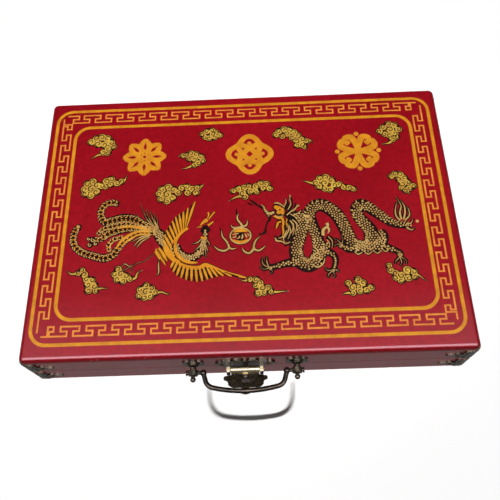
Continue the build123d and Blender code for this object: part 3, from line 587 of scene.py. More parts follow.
# dragon
dragon = {
    "body": [
        (93, -12, 1.3), (88, -11.5, 1.8), (83, -10, 2.2), (79, -7, 2.5), (74, -2.5, 3), (70, 1, 3.3),
        (66.5, 2.3, 3.5), (63.8, -0.4, 3.3), (64.5, -5, 3.2), (67, -9, 3.4), (70, -14, 3.8),
        (70.5, -19, 4.2), (69, -23, 4), (64, -24, 3.8), (59.5, -21.5, 3.6), (57, -15, 3.6), (55, -9, 3.6),
        (52, -3, 3.7), (48, 1, 3.8), (43.5, 3.3, 3.7), (39, 1.5, 3.5), (36.8, -3, 3.3), (38, -9, 3.1),
        (39.5, -14, 3), (40.5, -19, 3.2), (41, -25, 3.6), (39, -31, 4), (34, -34, 3.9), (29.5, -31, 3.8),
        (28, -25, 3.6), (29.5, -19, 3.5), (32, -12, 3.5), (33, -6, 3.3), (30, -3, 3),
    ],
    "haunches": [
        [(62, -24, 2.6), (68, -24.5, 3.4), (74, -23, 3.6), (77, -18, 2.6), (76, -14, 1.4)],
        [(40, -29, 3.2), (43.5, -25, 3.2), (46, -20.5, 1.8)],
    ],
    "legs": [
        [(76, -24, 2.6), (80.5, -26, 1.8), (85, -28.5, 1.4), (84.5, -31, 1.1)],
        [(61, -25, 2.4), (56.5, -25, 1.9), (53.5, -22.5, 1.4)],
        [(29, -32, 2.8), (22, -32.5, 2), (17, -34, 1.6), (12.5, -34.5, 1.4)],
        [(43, -26, 2.6), (47.5, -27.5, 1.9), (49.3, -31, 1.5), (48.5, -35.5, 1.3), (47, -37.5, 1.2)],
    ],
    "claws": [
        [(84.5, -31, 0.8), (82, -33.5, 0.7), (81.5, -35.3, 0.3)],
        [(84.5, -31, 0.8), (85, -34.5, 0.7), (83.6, -36.4, 0.3)],
        [(84.8, -31, 0.8), (87.6, -33.2, 0.6), (87.3, -35.5, 0.3)],
        [(53.5, -22.5, 0.8), (51, -22, 0.7), (49.2, -23.2, 0.3)],
        [(53.5, -22.5, 0.8), (51.5, -19.6, 0.7), (49.5, -18.5, 0.3)],
        [(53.6, -22, 0.8), (54.4, -18.8, 0.6), (53.4, -16.8, 0.3)],
        [(12.5, -34.5, 0.8), (10, -33, 0.8), (9, -30.5, 0.7), (9.8, -28, 0.3)],
        [(12.5, -34, 0.8), (11.6, -31, 0.8), (11.8, -27.6, 0.3)],
        [(12.5, -35, 0.8), (9.5, -35.5, 0.6), (7.8, -33.6, 0.3)],
        [(13, -35, 0.8), (14.5, -37.2, 0.6), (12.8, -38.2, 0.3)],
        [(47, -37.5, 0.8), (44.3, -37.5, 0.7), (43.2, -35.3, 0.3)],
        [(47, -38, 0.8), (44.6, -40.3, 0.7), (45.8, -41.9, 0.3)],
        [(47.2, -38, 0.8), (48.2, -40.6, 0.6), (47.2, -42, 0.3)],
        [(47.4, -37.4, 0.8), (50, -37.6, 0.6), (50.6, -39.2, 0.3)],
    ],
    "toes": [(84.8, -29.6, 1.7), (52.8, -23.2, 1.3), (13.4, -34.8, 1.4), (47.4, -37.6, 1.3)],
    "flames": [
        [(87.5, -8.5, 0.8), (85.6, -5.5, 0.75), (85.8, -1, 0.6), (87.3, 3.5, 0.3)],
        [(88.3, -8, 0.85), (88, -3.5, 0.8), (89.2, 1, 0.6), (87, 6.6, 0.3)],
        [(89.5, -8, 0.85), (90.8, -4, 0.75), (91, 0.5, 0.6), (89.2, 4.6, 0.3)],
        [(90.2, -8.6, 0.8), (93, -5.8, 0.7), (93.2, -2.2, 0.5), (92.4, 0.4, 0.3)],
        [(90.5, -11, 0.8), (93.4, -10.4, 0.6), (94.8, -7.6, 0.3)],
        [(90.5, -13, 0.8), (93, -14.8, 0.6), (95.2, -13.2, 0.3)],
    ],
    "curl": [
        [(43.7, -16.3, 0.9), (43.9, -13, 0.8), (46, -11.2, 0.7), (47.3, -12.8, 0.6), (46.4, -15, 0.3)],
        [(46.2, -8.6, 1.1), (46.8, -10, 0.7), (46.4, -11.4, 0.4)],
    ],
    "mask": [(18.0, 2.9, 1.5), (19.5, 2.0, 1.9), (21, 0.6, 2.1), (21.6, -1, 1.4), (19.4, -0.6, 1.5)],
    "snout": [(14.8, -1.2, 1.3), (13.2, -1.0, 1.2), (12, 0.2, 0.9), (16.2, -0.6, 1.2), (13.6, -2.6, 0.8)],
    "faceGold": [
        [(16.6, -3.0, 0.6), (19, -4.3, 0.8), (21.3, -4.6, 0.9), (21.8, -7.5, 0.9), (21.4, -10, 0.8),
         (21.6, -13, 0.7), (20.8, -16.5, 0.3)],
        [(20.6, -6.6, 0.7), (18.9, -7.2, 0.8), (18.2, -9, 0.9), (17.6, -10.8, 0.5)],
        [(24, -5, 0.6), (23.4, -8, 0.5), (24, -11, 0.3)],
    ],
    "facePale": [
        [(17, 5.4, 0.3), (19, 5.6, 0.45), (21, 4.4, 0.4), (23, 2.6, 0.3)],
        [(24, -2.6, 0.35), (27, 0.2, 0.25), (29.6, 2.2, 0.25), (31.2, 3.7, 0.6)],
        [(25.9, 6.5, 0.15), (26.3, 8.6, 0.2), (26.5, 10.4, 0.5)],
        [(13, -0.4, 0.6), (11.6, 1.6, 0.5), (11, 3.4, 0.45), (9.8, 4.8, 0.3)],
        [(16.8, -16.6, 0.3), (17.6, -18.6, 0.5), (20, -19, 0.4), (22.6, -20.4, 0.4), (25, -19.6, 0.3)],
        [(17.2, -2.6, 0.3), (19.4, -3.4, 0.35), (22, -3, 0.3)],
    ],
    "mane": [
        [(24.6, -7, 3.2), (26, -11, 3.4), (24.4, -15, 3), (21, -18, 1.8)],
        [(26, -1, 2.2), (29.6, -3.4, 2.6), (29, -9, 2.2)],
        [(45.6, -17, 1.4), (48.4, -19.6, 1.6), (48, -24, 1.2)],
        [(74, -15, 1.6), (75.6, -18.6, 2), (77.4, -21.6, 1.4)],
        [(23, 1, 1.2), (24.6, 5, 1.1), (23.4, 8.6, 0.4)],
        [(24.5, 0, 1.4), (27, 4.6, 1.1), (26.8, 9.6, 0.4)],
        [(25.5, -1.5, 1.5), (28.5, 1.2, 1.1), (29.4, 5.2, 0.3)],
        [(26, -3, 1.8), (30.5, -1.8, 1.4), (33, 0.6, 0.4)],
        [(26, -5, 2), (29, -7.5, 1.7), (27.5, -12.5, 1.4), (28.5, -16, 0.5)],
        [(24.5, -6, 1.9), (26, -11, 1.8), (23.5, -16, 1.6), (20, -20.5, 0.5)],
        [(22.5, -8, 1.2), (22.8, -13, 1.6), (19, -17, 1.1), (16.4, -15.4, 0.4)],
        [(23.5, -16, 1.6), (24.5, -20, 1.1), (21.5, -22, 0.4)],
        [(12, 1.2, 0.9), (8, 4.2, 0.6), (5.4, 6.4, 0.75), (3, 8.6, 0.25)],
        [(1.6, 6.4, 0.2), (3.2, 5.6, 0.55), (5.2, 4.2, 0.2)],
        [(23, -1.5, 1.6), (25, -2.6, 2.2), (27, -5, 2.4)],
        [(14.5, -3, 0.9), (14, -5.4, 0.8), (12.6, -6.6, 0.4)],
        [(12.8, -6.6, 0.5), (11.8, -10, 0.5), (11.2, -13, 0.8), (8.4, -14.4, 0.4)],
    ],
    "strands": [
        [(24.8, 1, 0.2), (26.6, 4.4, 0.3), (26.4, 7.6, 0.1)],
        [(26.5, -0.6, 0.2), (29, 1, 0.3), (30, 4, 0.1)],
        [(27, -3, 0.3), (30.4, -1.6, 0.35), (32.4, 0.2, 0.1)],
        [(25.6, -6, 0.3), (27.4, -9.6, 0.4), (26, -14, 0.2)],
        [(27, -5.6, 0.3), (29.4, -8.8, 0.35), (28.2, -14, 0.15)],
        [(24, -8, 0.25), (24.6, -12, 0.35), (22, -17, 0.15)],
        [(23.6, -12, 0.25), (22, -15.6, 0.3), (18.6, -17.2, 0.15)],
        [(25, -9, 0.2), (25.6, -13, 0.25), (24, -17.6, 0.12)],
        [(27.4, -8, 0.2), (27.6, -12, 0.25), (26.6, -15.6, 0.12)],
        [(26, -2, 0.2), (28.4, -3.6, 0.25), (30, -6.4, 0.12)],
        [(23, -13, 0.2), (21.4, -17.4, 0.25), (22.4, -20.6, 0.12)],
        [(28, -1.6, 0.2), (30, -3.4, 0.2), (31.4, -5, 0.1)],
        [(22.6, 3, 0.2), (24, 6, 0.25), (23.6, 8.4, 0.1)],
        [(46.4, -17, 0.2), (48.4, -20, 0.25), (48, -24, 0.12)],
        [(45.6, -19, 0.2), (46.8, -21.4, 0.25), (46.4, -24, 0.12)],
        [(74.6, -14.6, 0.2), (76.4, -18, 0.3), (77.8, -22, 0.12)],
        [(73.6, -16, 0.2), (75, -19.6, 0.25), (75.6, -22.6, 0.12)],
    ],
    "belly": [
        [(60, -27, 0.25), (62, -28.5, 0.45), (64.4, -27.3, 0.3)],
        [(65, -26.6, 0.25), (67.4, -28.6, 0.5), (70, -27, 0.3)],
        [(70.4, -26.6, 0.25), (72.6, -28.4, 0.45), (75, -26.6, 0.3)],
        [(75.4, -26, 0.25), (77.4, -27.5, 0.4), (79.4, -25.6, 0.25)],
        [(66, -23, 0.25), (68.4, -25.6, 0.45), (71.6, -24.4, 0.3), (71, -21.8, 0.2)],
        [(36, -33.4, 0.3), (39, -35.4, 0.5), (42.2, -33.6, 0.45), (43.6, -30.2, 0.3)],
        [(37, -31.6, 0.25), (38.6, -29.8, 0.4), (41, -31, 0.4), (39.6, -33, 0.25)],
    ],
    "shoulder": [(34, -3.2, 1.1), (36, -4, 1.5), (37.4, -5.8, 1.2), (35.6, -6.6, 0.9)],
    "speck": (97, -9.5, 0.9),
    "eye": (20.2, 1.0, 0.55),
}


def makeDragon():
    body = smoothPath(dragon["body"], 8)
    haunches, legs, claws, flames, curl, face = (
        strokesOf(dragon[key]) for key in ("haunches", "legs", "claws", "flames", "curl", "faceGold"))
    mane, strands, pale, belly = (strokesOf(dragon[key]) for key in ("mane", "strands", "facePale", "belly"))
    fins = barbs(body, 1.9, 1.9, 30, 0.36, (-1,))
    knuckles = dragon["toes"] + dragon["snout"] + dragon["shoulder"]
    inked = [(body, False)] + haunches + legs + flames + curl + face + fins + pale + belly
    under = grown(inked, 0.42) + mane + grown(claws, 0.45)
    paintPiece("dragonInk", under, grownDots(knuckles + dragon["mask"], 0.45), "under", "ink")
    dots = scaleDots(body)
    for path, _ in haunches + legs:
        dots += scaleDots(path, 1.6, 0.55)
    dots += [dragon["speck"]] + grownDots(knuckles, -0.35)
    fine = fins + strands + pale + curl + grown(flames, -0.32) + grown(claws, -0.6) + grown(belly, -0.08)
    paintPiece("dragonScales", fine, dots, "fill", "paleGold")
    paintPiece("dragonGold", grown(face, -0.25), grownDots(dragon["mask"], -0.3), "fill", "gold")
    ink = [(spiral(x, y, r * 0.75, 0.9, 40, 1, 0.2), False) for x, y, r in dragon["toes"]]
    paintPiece("dragonLines", ink, [dragon["eye"]], "detail", "ink")


makeDragon()
print("dragon painted")

# phoenix
phoenix = {
    "plumes": [
        [(-52, -8, 1.6), (-58, -5, 2.2), (-64, -1.8, 2.8), (-70, -1, 2.9), (-76, -2.2, 2.6),
         (-80.3, -2.6, 2.2), (-82.6, 1, 1.9), (-82.8, 5.4, 1.8), (-80, 9.2, 1.8), (-75.5, 9.6, 1.9),
         (-73.2, 8, 1.2)],
        [(-52, -9, 1.5), (-60, -7.6, 2), (-68, -7.2, 2.6), (-75, -9, 2.6), (-79, -11.4, 2.1),
         (-82, -13.8, 1.7), (-85.6, -13.2, 1.2)],
        [(-52, -11, 1.2), (-60, -10.6, 1.4), (-66, -14, 1.6), (-71, -19, 1.9), (-74, -23.6, 2.1),
         (-79, -25.6, 2.3), (-86, -23.6, 2.2), (-92, -21.2, 2.1), (-96.4, -17, 2), (-97.6, -11, 1.9),
         (-96, -6.4, 1.8), (-93.6, -6, 1.3)],
        [(-56, -8.6, 1), (-66, -4.8, 1.7), (-74, -5.6, 1.8), (-80.6, -7.2, 1.3), (-84, -10.8, 0.8)],
        [(-70, -13, 0.9), (-74.5, -14.5, 1.2), (-77, -18, 1.1), (-76, -22, 0.7)],
    ],
    "goldPlume": [
        [(-54, -10.2, 0.5), (-60, -9.6, 0.7), (-65.6, -11.6, 0.8), (-70, -15.4, 0.8), (-72.6, -20, 0.5)],
        [(-54, -9, 0.5), (-60, -7.2, 0.7), (-66, -6.2, 0.7), (-72, -7, 0.4)],
        [(-54, -11.6, 0.4), (-60.4, -11.8, 0.5), (-66.6, -15.2, 0.5), (-69.6, -18.6, 0.3)],
    ],
    "fan": [
        [(-50, -9, 0.9), (-56, -2, 0.8), (-60.2, 8.2, 0.2)],
        [(-50, -9, 0.9), (-54.6, -2, 0.8), (-57, 5, 0.2)],
        [(-49.6, -8.6, 0.9), (-53, -1, 0.8), (-54.8, 4, 0.2)],
        [(-49.4, -8.4, 0.9), (-51.4, -3, 0.8), (-52, 2, 0.2)],
        [(-49.2, -8.4, 0.9), (-50, -4, 0.7), (-49.9, 0, 0.2)],
        [(-50.4, -9.4, 0.9), (-57, -5, 0.8), (-62.4, 1.6, 0.2)],
    ],
    "flower": [
        (-80, -10, 1.6), (-78.6, -12.4, 1.3), (-86, -14, 1.8), (-87.6, -17, 1.6), (-84.4, -16.4, 1.3),
        (-88.6, -13.2, 1.2), (-82.2, -8.6, 1.1), (-95, -5.2, 1.4), (-74.4, 8.4, 1.4),
    ],
    "strands": [
        [(-54, -12.6, 0.5), (-59, -14.6, 0.6), (-62.6, -18.6, 0.2)],
        [(-54, -13.4, 0.4), (-58.4, -16.2, 0.5), (-61, -20, 0.2)],
        [(-53.6, -12, 0.5), (-58.6, -13, 0.5), (-64, -16, 0.2)],
    ],
    "body": [
        (-51.4, -8.4, 1.8), (-49, -11.5, 3), (-46.5, -15, 3.5), (-43.6, -19.4, 3.1), (-41.4, -24, 2.2),
    ],
    "thigh": [
        [(-50, -21, 0.7), (-48, -24.2, 0.8), (-46, -28, 0.7), (-44.4, -31, 0.3)],
        [(-48.6, -20.4, 0.7), (-46, -24.2, 0.9), (-43.6, -28.6, 0.4)],
        [(-50.4, -22.4, 0.6), (-49.2, -24.6, 0.6), (-47.6, -27.4, 0.3)],
    ],
    "legs": [
        [(-48, -27, 0.5), (-48.2, -31, 0.9), (-48, -35.6, 0.9), (-49.4, -37, 0.3)],
        [(-51.6, -24, 0.5), (-55.4, -27.6, 0.4), (-60, -29.4, 0.5), (-64, -31, 0.8), (-67, -29.4, 0.8),
         (-68.6, -31.4, 0.3)],
        [(-64, -31, 0.7), (-66.6, -33, 0.7), (-69, -32.4, 0.3)],
        [(-64, -31, 0.6), (-62.6, -33.4, 0.5), (-63.8, -35, 0.2)],
    ],
    "neck": [
        (-38.4, -19, 1.5), (-36.4, -24, 2), (-32.4, -27, 2.4), (-27.4, -26, 2.2), (-24, -21.4, 1.9),
        (-22.6, -15.6, 1.6), (-22.6, -10, 1.3),
    ],
    "head": [(-22.4, -8.8, 1.5), (-23.6, -10.4, 1.4), (-21, -10.2, 1.2)],
    "headGold": [
        [(-25.2, -7, 0.4), (-23.8, -5.4, 0.8), (-22, -4, 1.1), (-21.2, -3.4, 0.7)],
        [(-21, -7.4, 0.7), (-19.4, -6.2, 0.6), (-18, -5, 0.35)],
        [(-24.6, -14.4, 0.7), (-23.4, -15.4, 0.8), (-21.8, -14.6, 0.5)],
        [(-27.2, -8.4, 0.2), (-24.8, -7.8, 0.4)], [(-21.2, -2.6, 0.3), (-20.6, -0.4, 0.4), (-20.9, 1, 0.5)],
        [(-20.6, -3.4, 0.3), (-18.6, -0.6, 0.4), (-17.2, 1.2, 0.55)],
    ],
    "ruff": [
        [(-24, -16, 0.4), (-25.4, -20, 0.45), (-28.6, -22.8, 0.2)],
        [(-23.6, -17, 0.4), (-23.8, -21.6, 0.45), (-23.2, -26.6, 0.2)],
        [(-23.4, -16, 0.4), (-22, -20.4, 0.45), (-20.6, -24.4, 0.2)],
        [(-24.4, -17, 0.4), (-25, -22, 0.45), (-26.4, -27, 0.2)],
        [(-24.4, -15.4, 0.4), (-27, -18, 0.4), (-30, -18.4, 0.2)],
        [(-23, -16.6, 0.4), (-22.6, -21, 0.45), (-21.8, -27.4, 0.2)],
        [(-22.4, -15.6, 0.4), (-20.6, -18, 0.4), (-19.6, -21, 0.2)],
    ],
    "upperBand": [
        [(-32.6, -8.4, 1.1), (-35.6, -10.4, 1.2), (-38, -13.6, 1), (-39.3, -18, 0.8), (-38.8, -23, 0.9),
         (-36, -27.2, 1), (-31.4, -29.8, 0.9), (-26.6, -30.2, 0.4)],
        [(-34.4, -8, 1.2), (-37.2, -12.4, 0.9), (-41.4, -18, 0.6), (-42, -23, 0.4)],
    ],
    "lowerBand": [
        [(-40.6, -27, 0.6), (-36.6, -30.6, 1), (-31, -33, 1.2), (-25.4, -33.2, 1.2), (-22.4, -31.8, 1.2),
         (-18.6, -33, 0.9), (-12, -36, 0.6), (-1.4, -39.6, 0.25)],
    ],
    "saddle": [
        [(-45.4, -19.5, 0.9), (-43.6, -23.6, 1.2), (-40.6, -27.2, 1.3), (-36.6, -29.8, 0.9)],
        [(-44, -17, 0.6), (-42.4, -22, 0.8), (-39.6, -26, 0.7)],
    ],
    "upperTips": [
        (-46.2, -15.4), (-45.8, -12.4), (-44.6, -9.4), (-43, -6.6), (-41.4, -3.6), (-39.6, -1),
        (-37.6, 0.6), (-35.2, 2), (-32.6, 4.4), (-28.6, 8.4),
    ],
    "upperRoots": [
        (-42.2, -23.4), (-41.4, -20.4), (-40.6, -17.4), (-39.6, -14.8), (-38.4, -12.8), (-37.2, -11.4),
        (-35.8, -10), (-34.8, -9), (-34, -8.4), (-33.4, -7.8),
    ],
    "lowerTips": [
        (-41.4, -32.6), (-40, -35.2), (-38, -37.4), (-35.6, -39), (-32.8, -40.2), (-29.8, -41),
        (-26.8, -41.4), (-23.8, -41.3), (-21, -40.4), (-18.4, -39.6), (-15.6, -39), (-12.4, -38.6),
        (-8, -39), (0, -40.2),
    ],
    "lowerRoots": [
        (-39.6, -28.4), (-38, -29.8), (-36, -31), (-34, -32), (-32, -32.8), (-29.8, -33.4), (-27.6, -33.8),
        (-25.4, -33.8), (-23.4, -33.4), (-21.4, -33), (-19.4, -33.4), (-17, -34.4), (-14, -35.6),
        (-10, -37),
    ],
    "eye": (-22.2, -8.2, 0.4),
    "comb": (-22, -4.4, 1.0),
}


def between(a, b, half):
    return ((a[0] + b[0]) / 2, (a[1] + b[1]) / 2, half)


def feathers(roots, tips, half):
    strokes = []
    for root, tip in zip(roots, tips):
        points = [(*root, half * 0.6), between(root, tip, half), (*tip, half * 0.55)]
        strokes.append((smoothPath(points, 4), False))
    return strokes


def makePhoenix():
    plumes, goldPlume = strokesOf(phoenix["plumes"], 8), strokesOf(phoenix["goldPlume"])
    fan, strands, thigh, legs, ruff, headGold = (
        strokesOf(phoenix[key]) for key in ("fan", "strands", "thigh", "legs", "ruff", "headGold"))
    body, neck = smoothPath(phoenix["body"]), smoothPath(phoenix["neck"])
    bands = strokesOf(phoenix["upperBand"] + phoenix["lowerBand"] + phoenix["saddle"])
    pairs = [(phoenix["upperRoots"], phoenix["upperTips"]), (phoenix["lowerRoots"], phoenix["lowerTips"])]
    wings = [stroke for roots, tips in pairs for stroke in feathers(roots, tips, 0.72)]
    inked = [(body, False), (neck, False)] + bands + wings + goldPlume + thigh + strands + ruff + headGold
    under = grown(inked, 0.4) + grown(plumes, 0.35) + fan + legs
    paintPiece("phoenixInk", under, grownDots(phoenix["flower"] + phoenix["head"], 0.3), "under", "ink")
    dots = scaleDots(body, 1.35, 0.55) + scaleDots(neck, 1.35, 0.55)
    down = []
    for path, _ in plumes:
        down += barbs(path, 1.6, 1.5, 60, 0.36)
        core = [(x, y, half * 0.35) for x, y, half in path]
        goldPlume += barbs(core, 2.6, 1.3, 66, 0.36)
    for x, y, r in phoenix["flower"]:
        down.append((spiral(x, y, r * 0.75, 1.0, 120, 1, 0.3), False))
    fine = grown(fan, -0.66) + grown(legs, -0.6) + grown(ruff, -0.18) + grown(strands, -0.15)
    paintPiece("phoenixDown", down + fine, dots, "fill", "paleGold")
    golden = bands + wings + goldPlume + thigh + headGold
    paintPiece("phoenixGold", golden, [phoenix["comb"]], "fill", "gold")
    # ink lines part one feather from the next
    quills = []
    for roots, tips in pairs:
        for root, nextRoot, tip, nextTip in zip(roots, roots[1:], tips, tips[1:]):
            quills.append(([between(root, nextRoot, 0.2), between(tip, nextTip, 0.36)], False))
    for a, b in zip(phoenix["thigh"], phoenix["thigh"][1:]):
        quills.append(([between(p, q, 0.2) for p, q in zip(a, b)], False))
    paintPiece("phoenixLines", quills, [phoenix["eye"]], "detail", "ink")


makePhoenix()
print("phoenix painted")

# flaming pearl between them
pearl = {
    "middle": (-2.6, -14.6),
    "reach": (5.8, 4.9),
    "stripes": [
        [(-6.4, -12, 0.4), (-2.6, -11.2, 1.1), (1.4, -12, 0.4)],
        [(-7.2, -17, 0.3), (-2.6, -18.6, 0.9), (2, -17, 0.3)],
    ],
    "leaves": [
        [(-7.4, -13.8, 0.2), (-5.6, -13.4, 0.45), (-3.6, -13.1, 0.2)],
        [(-7.2, -15.8, 0.2), (-5.8, -15.2, 0.45), (-4.8, -14.6, 0.2)],
        [(-4.4, -16.6, 0.2), (-3.4, -15.6, 0.45), (-3, -14.6, 0.2)],
        [(-2.2, -16.8, 0.2), (-1.5, -15.4, 0.5), (-1.5, -13.6, 0.2)],
        [(0.8, -16, 0.2), (0.6, -14.8, 0.5), (-0.2, -13.4, 0.2)],
        [(2.2, -15, 0.2), (2, -14.2, 0.4), (1.2, -13.2, 0.2)],
    ],
    "flames": [
        [(-1.4, -9.2, 0.6), (-2.2, -7, 0.7), (-4, -4.6, 0.6), (-4.2, -2, 0.4), (-3.4, -0.6, 0.2)],
        [(-1.6, -9, 0.7), (-5, -9.6, 0.8), (-7.2, -9, 0.5), (-7.8, -7.6, 0.3)],
        [(-1.6, -9, 0.8), (0.6, -8.2, 0.7), (1.4, -6.6, 0.5), (1.3, -4.8, 0.2)],
        [(-13.2, -11, 0.2), (-12.8, -14.6, 0.5), (-10.4, -18, 0.6), (-9.2, -21.6, 0.7), (-11.6, -23.5, 0.7),
         (-15, -22.8, 0.6), (-17.6, -20.4, 0.2)],
        [(-9.4, -21.6, 0.7), (-7.4, -22.6, 0.6), (-5.2, -22.2, 0.25)],
        [(8.4, -15.4, 0.2), (6, -17.8, 0.5), (4.8, -20.6, 0.7), (4.4, -23.2, 0.8), (2, -25.5, 0.7),
         (-0.6, -24.4, 0.6), (-1.8, -22.2, 0.2)],
        [(4.6, -23, 0.8), (7.2, -24.2, 0.6), (9.4, -23, 0.5), (11, -21.4, 0.2)],
    ],
    "tips": [
        [(-4.2, -2.4, 0.5), (-4.6, 0.4, 0.5), (-4.9, 3, 0.2)],
        [(-13.2, -12.4, 0.5), (-13.8, -10.4, 0.4), (-14.6, -8.8, 0.2)],
        [(7.4, -16.4, 0.5), (8.2, -14.8, 0.4), (8.4, -13, 0.2)],
    ],
}


def makePearl():
    (x, y), (rx, ry) = pearl["middle"], pearl["reach"]
    angles = [math.tau * i / 48 for i in range(48)]
    rim = ([(x + rx * math.cos(angle), y + ry * math.sin(angle), 0.42) for angle in angles], True)
    stripes, flames, tips = (strokesOf(pearl[key]) for key in ("stripes", "flames", "tips"))
    core = smoothPath([(x - 2.2, y, 3.6), (x, y, 4.6), (x + 2.2, y, 3.6)], 4)
    paintPiece("pearlInk", [(core, False)] + grown([rim] + flames, 0.45) + tips, [], "under", "ink")
    paintPiece("pearlPale", [rim] + grown(flames, -0.12) + strokesOf(pearl["leaves"]), [], "fill", "paleGold")
    paintPiece("pearlGold", stripes, [], "fill", "gold")


makePearl()
print("pearl painted")

# velvet flock linings
linings = {"base_lining": ("base", 1), "lid_lining": ("lid", -1)}
pile = {"step": 2.0, "wave": 0.12, "length": 14, "place": 3.1, "edge": 1.5, "droop": 0.25}


def makeLining(node, body, up):
    # a flocked card: a slab whose pile side is gently uneven and rolls over at the rim
    low, high = (Vector(corner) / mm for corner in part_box(node))
    bm = bmesh.new()
    across = int((high.x - low.x) / pile["step"])
    deep = int((high.y - low.y) / pile["step"])
    bmesh.ops.create_grid(bm, x_segments=across, y_segments=deep, size=0.5)
    middle, size = (low + high) / 2, high - low
    for vertex in bm.verts:
        x, y = vertex.co.x * size.x, vertex.co.y * size.y
        edge = min(size.x / 2 - abs(x), size.y / 2 - abs(y))
        droop = pile["droop"] * max(0.0, 1 - edge / pile["edge"]) ** 2
        wave = noise.noise((x / pile["length"], y / pile["length"], pile["place"]))
        lift = size.z / 2 - droop - pile["wave"] * (0.5 + wave)
        vertex.co = (middle.x + x, middle.y + y, middle.z + up * lift)
    rim = bmesh.ops.extrude_face_region(bm, geom=bm.faces[:])
    for item in rim["geom"]:
        if isinstance(item, bmesh.types.BMVert):
            item.co.z = middle.z - up * size.z / 2
    bmesh.ops.recalc_face_normals(bm, faces=bm.faces)
    bmesh.ops.scale(bm, verts=bm.verts, vec=(mm, mm, mm))
    mesh = meshOf(bm, node + "Flock")
    piece = addPiece(node + "Flock", mesh, finishes["flocked_card"], body)
    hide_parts(node)


for node, (body, up) in linings.items():
    makeLining(node, body, up)
print("linings laid")

# the photograph's camera, found from the lid's corners, its front edge and its height
view = {"lens": 42.99, "sensor": 36, "at": (0.00939, -0.16329, 0.33662), "swing": 2.82, "tilt": 24.93,
        "roll": -4.61}
camera = newObject("camera", bpy.data.cameras.new("camera"))
camera.data.lens = view["lens"]
camera.data.sensor_width = view["sensor"]
camera.data.clip_start = 0.01
swing, tilt, roll = (Matrix.Rotation(math.radians(view[key]), 4, axis)
                     for key, axis in (("swing", "Z"), ("tilt", "X"), ("roll", "Z")))
camera.matrix_world = Matrix.Translation(view["at"]) @ (swing @ tilt @ roll)
bpy.context.scene.camera = camera

# floor and lights; sizes in metres here but the paper's fibre, and greys as parts of the light sent back
sheet = {"bounced": 0.36, "mirrored": 0.125, "seen": 0.53, "fade": (0.15, 0.26), "fibre": 0.8,
         "drop": 0.0002, "size": 4}
lamp = {"at": (-0.08, 0.24, 0.93), "toward": (-0.002, -0.09, 0.02), "size": (0.11, 0.025),
        "onCase": 8.0, "onPaper": 19.0}
card = {"at": (-0.0045, -0.08, 0.021), "size": (0.014, 0.0004, 0.010)}
# half the wire that throws the bail's shadow: x, y and half width in millimetres, its mirror line and height
wire = {"half": [(-25, -80.5, 0.35), (-24.7, -86, 0.6), (-23.9, -91, 0.9), (-21.6, -95.2, 1.2),
                 (-17.4, -97.7, 1.3), (-10.4, -98.9, 1.3), (-2, -99.3, 1.35)], "mirror": -4, "z": 25}
room = {"ambient": 0.16, "dim": 0.012, "tint": (0.93, 0.96, 1.08, 1)}
# the reflected ceiling panel: the direction's axis, where a ramp starts and ends, its value at both
ceiling = {"glare": ("Y", 0.25, 0.34, 1.25, 0.0), "highlight": ("Y", -0.06, 0.1, 9.5, 0.0),
           "near": ("Y", -0.62, -0.42, 0.0, 1.0), "sides": ("X", 0.55, 0.8, 1.0, 0.0),
           "low": ("Z", 0.1, 0.3, 0.0, 1.0)}


def grey(value):
    return (value, value, value, 1)


def addLight(name, power):
    light = bpy.data.lights.new(name, "AREA")
    light.shape = "RECTANGLE"
    light.size, light.size_y = lamp["size"]
    light.energy = power
    holder = newObject(name, light)
    holder.location = lamp["at"]
    aim = Vector(lamp["toward"]) - Vector(lamp["at"])
    holder.rotation_euler = aim.to_track_quat("-Z", "Y").to_euler()
    holder.visible_glossy = False
    return holder


def makeFloor():
    # seamless paper, burnt out to white where the camera sees it lit
    material = bpy.data.materials.new("whitePaper")
    material.use_nodes = True
    tree = material.node_tree
    tree.nodes.clear()
    rays = addNode(tree, "LightPath", {})
    place = addNode(tree, "TexCoord", {}).outputs["Object"]
    unseen = addNode(tree, "Mix", {0: rays.outputs["Is Glossy Ray"], 6: grey(sheet["bounced"]),
                                   7: grey(sheet["mirrored"])}, data_type="RGBA")
    tone = addNode(tree, "Mix", {0: rays.outputs["Is Camera Ray"], 6: unseen.outputs[2],
                                 7: grey(sheet["seen"])}, data_type="RGBA")
    fibre = addNode(tree, "TexNoise", {"Vector": place, "Scale": grain(sheet["fibre"]), "Detail": 3})
    bump = addNode(tree, "Bump", {"Height": fibre, "Strength": 0.05, "Distance": 0.02 * mm})
    paper = addNode(tree, "BsdfDiffuse", {"Color": tone.outputs[2], "Normal": bump})
    away = addNode(tree, "VectorMath", {0: place}, operation="LENGTH")
    far = addNode(tree, "MapRange", {"Value": away.outputs["Value"], "From Min": sheet["fade"][0],
                                     "From Max": sheet["fade"][1]})
    burnt = addNode(tree, "Math", {0: far, 1: rays.outputs["Is Camera Ray"]}, operation="MULTIPLY")
    white = addNode(tree, "Emission", {"Color": (1, 1, 1, 1), "Strength": 1.0})
    mixed = addNode(tree, "MixShader", {0: burnt, 1: paper, 2: white})
    addNode(tree, "OutputMaterial", {0: mixed})
    bm = bmesh.new()
    bmesh.ops.create_grid(bm, x_segments=1, y_segments=1, size=sheet["size"])
    floor = newObject("floor", meshOf(bm, "floor"))
    floor.data.materials.append(material)
    floor.location.z = -sheet["drop"]


def makeFlag():
    # a small card that shades the paper seen through the flap's slot
    bm = bmesh.new()
    shape = Matrix.Translation(card["at"]) @ Matrix.Diagonal((*card["size"], 1))
    bmesh.ops.create_cube(bm, size=1, matrix=shape)
    return hideAway(newObject("flag", meshOf(bm, "flag")))


def hideAway(thing):
    # it shades the paper and is seen no other way
    thing.data.materials.append(bpy.data.materials["whitePaper"])
    thing.visible_camera = thing.visible_glossy = thing.visible_diffuse = False
    return thing


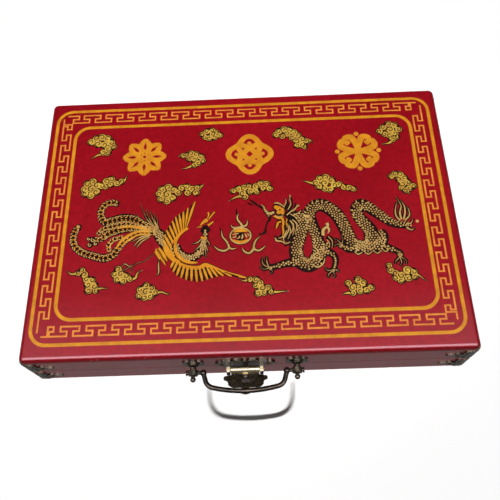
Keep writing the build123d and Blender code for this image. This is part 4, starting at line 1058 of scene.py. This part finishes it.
def makeShade():
    # a wire along the bail that throws its shadow; the arms thin out so that their shadow fades
    half = wire["half"]
    path = smoothPath(half + [(wire["mirror"] - x, y, w) for x, y, w in half[-2::-1]])
    mesh = curveMesh([(path, False)], 2)
    mesh.transform(Matrix.Scale(mm, 4) @ Matrix.Translation((0, 0, wire["z"])))
    shade = newObject("shade", mesh)
    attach(shade, "bail")
    return hideAway(shade)


def makeWorld():
    # white behind the case; reflections see a dim room with a bright ceiling panel over the camera
    world = bpy.data.worlds.new("studio")
    bpy.context.scene.world = world
    world.use_nodes = True
    tree = world.node_tree
    tree.nodes.clear()
    rays = addNode(tree, "LightPath", {})
    axes = addNode(tree, "SeparateXYZ", {0: addNode(tree, "TexCoord", {}).outputs["Generated"]})
    sideways = addNode(tree, "Math", {0: axes.outputs["X"]}, operation="ABSOLUTE")
    directions = {"X": sideways.outputs[0], "Y": axes.outputs["Y"], "Z": axes.outputs["Z"]}
    ramps = {}
    for name, (axis, start, end, low, high) in ceiling.items():
        ramps[name] = addNode(tree, "MapRange", {"Value": directions[axis], "From Min": start,
                                                 "From Max": end, "To Min": low, "To Max": high})
    panel = addNode(tree, "Math", {0: ramps["glare"], 1: ramps["highlight"]}, operation="ADD")
    for name in ("near", "sides", "low"):
        panel = addNode(tree, "Math", {0: panel, 1: ramps[name]}, operation="MULTIPLY")
    panel = addNode(tree, "Math", {0: panel, 1: room["dim"]}, operation="ADD")
    seen = addNode(tree, "Background", {"Color": (1, 1, 1, 1), "Strength": 1.0})
    mirrored = addNode(tree, "Background", {"Color": room["tint"], "Strength": panel})
    ambient = addNode(tree, "Background", {"Color": (1, 1, 1, 1), "Strength": room["ambient"]})
    soft = addNode(tree, "MixShader", {0: rays.outputs["Is Glossy Ray"], 1: ambient, 2: mirrored})
    mixed = addNode(tree, "MixShader", {0: rays.outputs["Is Camera Ray"], 1: soft, 2: seen})
    addNode(tree, "OutputWorld", {0: mixed})


makeFloor()
makeWorld()
# two lamps in one place high behind the case: one lights the paper, where it throws the shadow of the bail
# alone, as in the photograph, and the other lights the case
shades, paper, others = (bpy.data.collections.new(name) for name in ("shades", "paper", "others"))
for thing in (makeShade(), makeFlag()):
    shades.objects.link(thing)
for group in (paper, others):
    group.objects.link(bpy.data.objects["floor"])
others.collection_objects[0].light_linking.link_state = "EXCLUDE"
onPaper = addLight("lampOnPaper", lamp["onPaper"])
onPaper.light_linking.blocker_collection = shades
onPaper.light_linking.receiver_collection = paper
addLight("lampOnCase", lamp["onCase"]).light_linking.receiver_collection = others
bpy.context.scene.view_settings.view_transform = "Standard"
print("studio lit")
